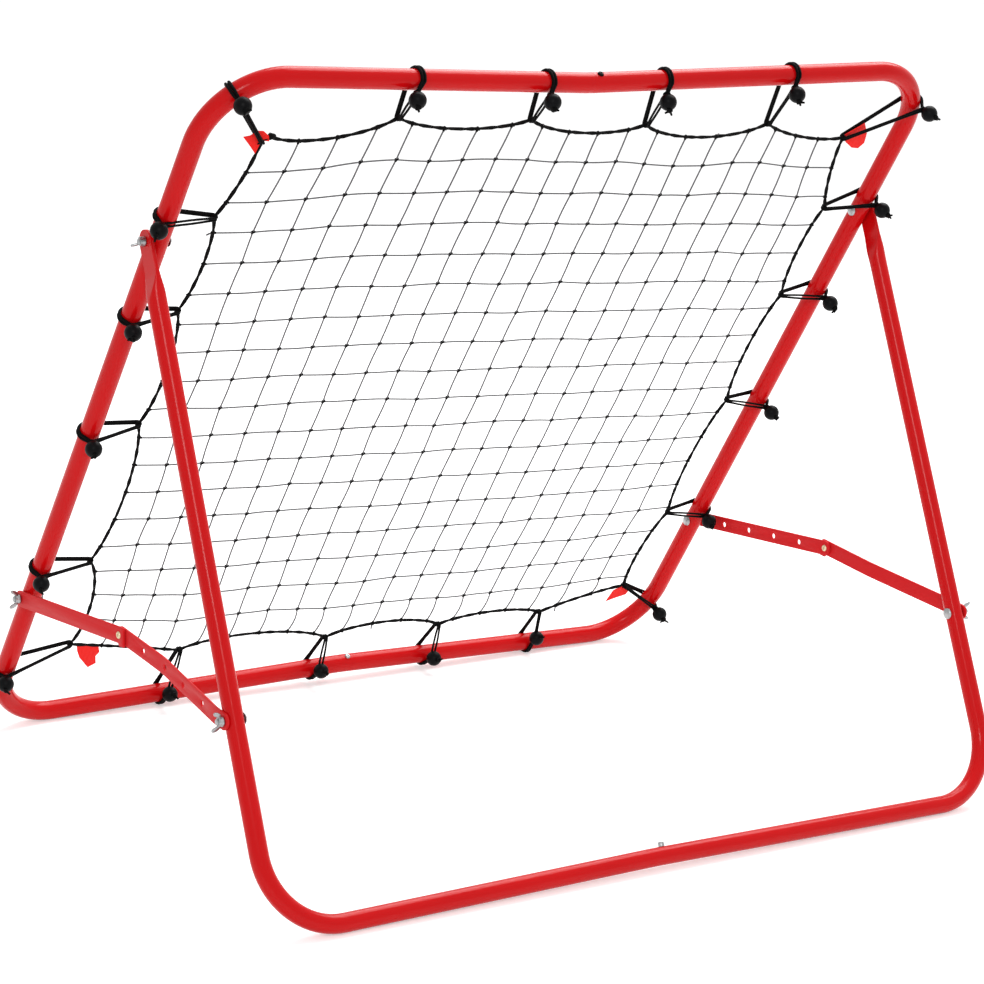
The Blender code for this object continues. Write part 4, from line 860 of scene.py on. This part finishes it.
def moulded_plastic(name, deep, bright, roughness):
    """Injection-moulded polyethylene: a dull black that use has polished in places. Its
    spark-eroded grain is drawn ten times coarser, because the camera would lose it."""
    finish, tree, place = new_finish(name)
    grain = add_node(tree, "ShaderNodeTexNoise",
                     {"Vector": place, "Scale": 1 / GRAIN_LENGTH, "Detail": 2.0})
    wear, tint = mottled(tree, place, WEAR_LENGTH, deep, bright)
    rough = add_node(tree, "ShaderNodeMapRange",
                     {"Value": wear, "To Min": roughness - 0.08, "To Max": roughness + 0.08})
    cover(tree, grain.outputs["Fac"], 0.2, 0.0001, {
        "Base Color": tint, "Roughness": rough.outputs["Result"], "IOR": 1.5,
        "Specular IOR Level": 0.08})
    return finish


def nearest_on(line, point):
    """The nearest point of a path to this one, and the path's direction there."""
    best = None
    for start, end in zip(line, line[1:]):
        chord = end - start
        share = min(1.0, max(0.0, (point - start).dot(chord) / chord.length_squared))
        found = start + chord * share
        if best is None or (found - point).length < (best[0] - point).length:
            best = found, chord.normalized()
    return best


def around(centre, radius, start, end, stretch=1.0, most=math.radians(12)):
    """Points on an arc in a tie's own plane, from one angle to another."""
    steps = max(1, math.ceil(abs(end - start) / most))
    turns = [start + (end - start) * i / steps for i in range(steps + 1)]
    return [Vector((centre + radius * math.cos(a) * stretch, radius * math.sin(a), 0.0))
            for a in turns]


def tie_loop(reach, neck, stretch, spread):
    """The loop's stations in its own plane, with the tube at the origin and the rope at -reach.
    Each is a point, its distance to the tie's middle and its share of the radius."""
    wrap = NET_TUBE_RADIUS + ELASTIC_RADIUS
    lean = math.asin((wrap - HOOK_RADIUS) / reach)
    far = math.hypot(neck.x + reach, neck.y)
    rear = math.atan2(neck.y, neck.x + reach) + math.acos(HOOK_RADIUS / far)
    end = math.atan2(neck.y, neck.x) - math.acos(wrap / math.hypot(neck.x, neck.y))
    hook = around(-reach, HOOK_RADIUS, rear, math.radians(270) - lean, most=math.radians(25))
    tube = around(0.0, wrap, -math.pi / 2 - lean, end, stretch)
    rest = [hook[-1].lerp(tube[0], i / 4) for i in range(1, 4)]
    stations = [(neck.lerp(hook[0], i / 8),
                 STRAND_GAP * max(0.7, 1 - 0.1 * i) + spread * math.sin(math.pi * i / 8),
                 max(REAR_SHARE, 1 - 0.12 * i)) for i in range(8)]
    stations += [(place, 0.8 * STRAND_GAP, FRONT_SHARE) for place in hook + rest]
    return stations + [(place, STRAND_GAP, 1.0) for place in tube] + [(neck, STRAND_GAP / 2, 1.0)]


# A moulded ball, with a parting line that stands a little proud and a hole along its pole.
profile = [(BALL_HOLE, 0.88 * BALL_RADIUS)]
profile += [(BALL_RADIUS * math.sin(math.radians(a)), BALL_RADIUS * math.cos(math.radians(a)))
            for a in (12, 20, 30, 41, 52, 63, 74, 84, 88)]
profile += [(BALL_RADIUS * 1.008, 0.0)]
profile += [(radius, -height) for radius, height in profile[-2::-1]]
shape = turned(profile + profile[:1], 28)
for face in shape.faces:
    face.material_index = 1
ball_mesh = new_mesh("ball", shape)
elastic = twisted_fibre("braided_shock_cord", "#030303", "#0B0B0C", ELASTIC_LENGTH, BRAID_PITCH,
                        0.7)
ball_plastic = moulded_plastic("black_polyethylene", "#030304", "#08090B", 0.42)
tube_line = net_lines["left"] + net_lines["right"][::-1]
tails = random.Random(11)
for (name, (x, height, depth, spread)), tie_point in zip(BALLS.items(), tie_points):
    tie_point = Vector((*tie_point, 0.0))
    crossing, tangent = nearest_on(tube_line, Vector((x - BAND_SHIFT.get(name, 0.0), height, 0.0)))
    outward = (crossing - tie_point).normalized()
    behind = Vector((0.0, 0.0, -1.0))
    loop_frame = (Matrix.Translation(crossing)
                  @ Matrix((outward, behind, outward.cross(behind))).transposed().to_4x4())
    sideways = loop_frame.inverted().to_3x3() @ tangent
    square = abs(sideways.z)
    sideways /= square
    ball = loop_frame.inverted() @ Vector((x, height, -depth))
    sunk = BALL_RADIUS + NECK_GAP if ball.x > BESIDE_TUBE else 0.4 * BALL_RADIUS
    neck = ball * (1 - sunk / ball.length)
    reach = (crossing - tie_point).length
    stations = tie_loop(reach, neck, 1 / square, spread)
    strands = [[place + sideways * way * gap for place, gap, _ in stations] for way in (1, -1)]
    widths = [[share for *_, share in stations]] * 2
    pole = (ball - neck).normalized()
    facing = pole.to_track_quat("Z", "Y").to_matrix().to_4x4()
    knot = ball + pole * (BALL_RADIUS + KNOT_REACH)
    strands += [[neck, ball, knot],
                [neck + facing @ Vector((math.cos(math.tau * i / 12), math.sin(math.tau * i / 12),
                                         0.0)) * NECK_RADIUS for i in range(13)]]
    widths += [[0.9] * 3, [0.8] * 13]
    for _ in range(2):
        stray = pole * 0.5 + Vector([tails.uniform(-1, 1) for _ in range(3)])
        tip = stray.normalized() * tails.uniform(*END_LENGTHS)
        strands.append([knot, knot + tip * 0.6, knot + tip])
        widths.append([0.8, 0.75, 0.6])
    shape = strands_shape(strands, ELASTIC_RADIUS, widths=widths)
    stamp(shape, ball_mesh, Matrix.Translation(ball) @ facing)
    add_knot(shape, knot, BALL_KNOT_SIZE)
    add_knot(shape, Vector((-reach, 0.0, 0.0)), HITCH_SIZE)
    bmesh.ops.transform(shape, matrix=net_plane @ loop_frame, verts=shape.verts)
    for corner in shape.verts:
        corner.co.z = max(corner.co.z, 0.0)
    add_piece(f"ball_{name}", shape, [elastic, ball_plastic], Matrix(), "net_frame", [name],
              50)
for mesh in (lump, ball_mesh):
    bpy.data.meshes.remove(mesh)


# Corner tabs: snippets of red ribbed nylon ribbon, cut by hand and sewn to the net's corners.
# Each outline runs from the corner of the rope. The upper left one is folded round it, but is
# drawn as an outline like the others, without the fold.
TAB_THICKNESS = 0.0007
TAB_CURL = 0.0018
TAB_RIB = 0.005655         # drawn six times as wide as a real rib, which the camera would lose
# the size of the painted glints of the ribbon's threads
TAB_GLINT_LENGTH = 0.0012
TABS = {
    "corner_tab_top_left": (TOP_TIES[0], [
        (0.0226, 0.0064), (0.0152, 0.0077), (0.0076, 0.0135), (0.0013, 0.0134), (-0.0056, 0.0083),
        (-0.0083, 0.0015), (-0.0034, 0.0016), (0.0006, -0.0028), (0.0020, -0.0148),
        (0.0107, -0.0055)]),
    "corner_tab_top_right": (TOP_TIES[-1], [
        (0.0027, 0.0017), (-0.0211, 0.0197), (-0.0337, 0.0040), (-0.0380, -0.0106),
        (-0.0321, -0.0178), (-0.0198, -0.0154), (-0.0066, -0.0073)]),
    "corner_tab_bottom_right": (BOTTOM_TIES[-1], [
        (0.0, 0.0), (-0.0128, -0.0096), (-0.0113, -0.0190), (0.0202, -0.0242),
        (0.0151, -0.0062)]),
    "corner_tab_bottom_left": (BOTTOM_TIES[0], [
        (-0.0108, -0.0032), (-0.0407, -0.0097), (-0.0452, -0.0204), (-0.0418, -0.0265),
        (-0.0464, -0.0398), (-0.0366, -0.0440), (-0.0201, -0.0244), (-0.0144, -0.0135)]),
}


def ribbed_ribbon(name, deep, bright):
    """Woven nylon ribbon: ribs of weft across it, and painted glints where threads catch the
    light.
    """
    finish, tree, place = new_finish(name)
    # The bands of a Wave texture stand a twentieth of a full turn apart at a scale of 1.
    ribs = add_node(tree, "ShaderNodeTexWave",
                    {"Vector": place, "Scale": math.tau / 20 / TAB_RIB, "Distortion": 0.4,
                     "Detail": 1.0}, wave_type="BANDS", bands_direction="X")
    # The threads' glints are painted into the colour, as a drift between a deep and a bright red.
    _, tint = mottled(tree, place, TAB_GLINT_LENGTH, deep, bright)
    cover(tree, ribs.outputs["Fac"], 0.5, 0.0002, {
        "Base Color": tint, "Roughness": 0.6, "Specular IOR Level": 0.15, "Sheen Weight": 0.08,
        "Sheen Roughness": 0.4})
    return finish


ribbon = ribbed_ribbon("red_nylon_ribbon", "#EC140E", "#FA221A")
for name, (corner, offsets) in TABS.items():
    outline = [Vector(corner) + Vector(offset) for offset in offsets]
    shape = bmesh.new()
    patch = shape.faces.new([shape.verts.new((*place, 0.0)) for place in outline])
    shape.normal_update()
    cut_area = patch.calc_area()
    bmesh.ops.triangulate(shape, faces=[patch])
    bmesh.ops.subdivide_edges(shape, edges=shape.edges, cuts=5, use_grid_fill=True)
    reach = max((place - outline[0]).length for place in outline)
    for point in shape.verts:
        share = (point.co.to_2d() - outline[0]).length / reach
        point.co.z += TAB_CURL * share * share * math.sin(90 * point.co.x + 2.0)
    bmesh.ops.solidify(shape, geom=shape.faces[:], thickness=TAB_THICKNESS)
    bmesh.ops.recalc_face_normals(shape, faces=shape.faces)
    tab = add_piece(f"ribbon_{name}", shape, [ribbon], net_plane, "net_frame", [name],
                    50)


# The set: a white floor without a horizon, in a white room. A large soft lamp stands above the
# net's front, and a small one beside the camera, which looks from behind the support.
FLOOR_DROP = 0.0004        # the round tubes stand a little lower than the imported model's flats
FLOOR_REACH = 30.0
FLOOR_LIFT = 0.42          # what takes the floor up to white
PAPER_DRIFT = 1.5
ROOM_LIGHT = 0.66          # how bright the white room is as a lamp
AIM = Vector((0.0, 0.0, 0.35))
# Each lamp's place, width and watts.
LAMPS = {"back_soft_box": ((-1.6, -1.0, 3.0), 2.4, 98.0),
         "front_soft_box": ((2.1, 2.9, 2.5), 0.9, 32.0)}
CAMERA_PLACE = (1.9371, 2.6235, 1.2050)
CAMERA_TURN = (1.306311, -0.080020, 2.533162)
FOCAL_LENGTH, SENSOR_WIDTH = 110.32, 36.0   # in millimetres


def seen_directly(tree):
    """1 for what the camera sees, also in a mirror or through glass, and 0 for what lights."""
    path = add_node(tree, "ShaderNodeLightPath").outputs
    seen = path["Is Camera Ray"]
    for way in ("Is Glossy Ray", "Is Transmission Ray"):
        seen = add_node(tree, "ShaderNodeMath", {0: seen, 1: path[way]},
                        operation="MAXIMUM").outputs[0]
    return seen


def white_paper(name):
    """Matt white paper that keeps the shadow, lifted to white only for what looks at it. Its white
    drifts over a metre or two."""
    finish, tree, place = new_finish(name)
    lift = add_node(tree, "ShaderNodeMath", {0: seen_directly(tree), 1: FLOOR_LIFT},
                    operation="MULTIPLY")
    _, tint = mottled(tree, place, PAPER_DRIFT, "#F2F2F2", "#F6F6F6")
    shader = add_node(tree, "ShaderNodeBsdfPrincipled", {
        "Base Color": tint, "Roughness": 0.9, "Emission Color": (1.0, 1.0, 1.0, 1.0),
        "Emission Strength": lift.outputs[0]})
    add_node(tree, "ShaderNodeOutputMaterial", {"Surface": shader.outputs["BSDF"]})
    return finish


shape = bmesh.new()
bmesh.ops.create_grid(shape, x_segments=1, y_segments=1, size=FLOOR_REACH)
add_object("floor", shape, [white_paper("white_paper")],
                    Matrix.Translation((0.0, 0.0, -FLOOR_DROP)))

room = bpy.data.worlds.new("white_room")
room.use_nodes = True
tree = room.node_tree
tree.nodes.clear()
strength = add_node(tree, "ShaderNodeMapRange",
                    {"Value": seen_directly(tree), "To Min": ROOM_LIGHT, "To Max": 1.0})
light = add_node(tree, "ShaderNodeBackground",
                 {"Color": (1.0, 1.0, 1.0, 1.0), "Strength": strength.outputs["Result"]})
add_node(tree, "ShaderNodeOutputWorld", {"Surface": light.outputs["Background"]})
bpy.context.scene.world = room

for name, (place, width, power) in LAMPS.items():
    lamp = bpy.data.lights.new(name, "AREA")
    lamp.shape = "SQUARE"
    lamp.size = width
    lamp.energy = power
    holder = bpy.data.objects.new(name, lamp)
    holder.location = place
    holder.rotation_euler = (AIM - Vector(place)).to_track_quat("-Z", "Y").to_euler()
    bpy.context.scene.collection.objects.link(holder)

lens = bpy.data.cameras.new("camera")
lens.lens = FOCAL_LENGTH
lens.sensor_width = SENSOR_WIDTH
camera = bpy.data.objects.new("camera", lens)
camera.location = CAMERA_PLACE
camera.rotation_euler = CAMERA_TURN
bpy.context.scene.collection.objects.link(camera)
bpy.context.scene.camera = camera
bpy.context.scene.view_settings.view_transform = "Standard"
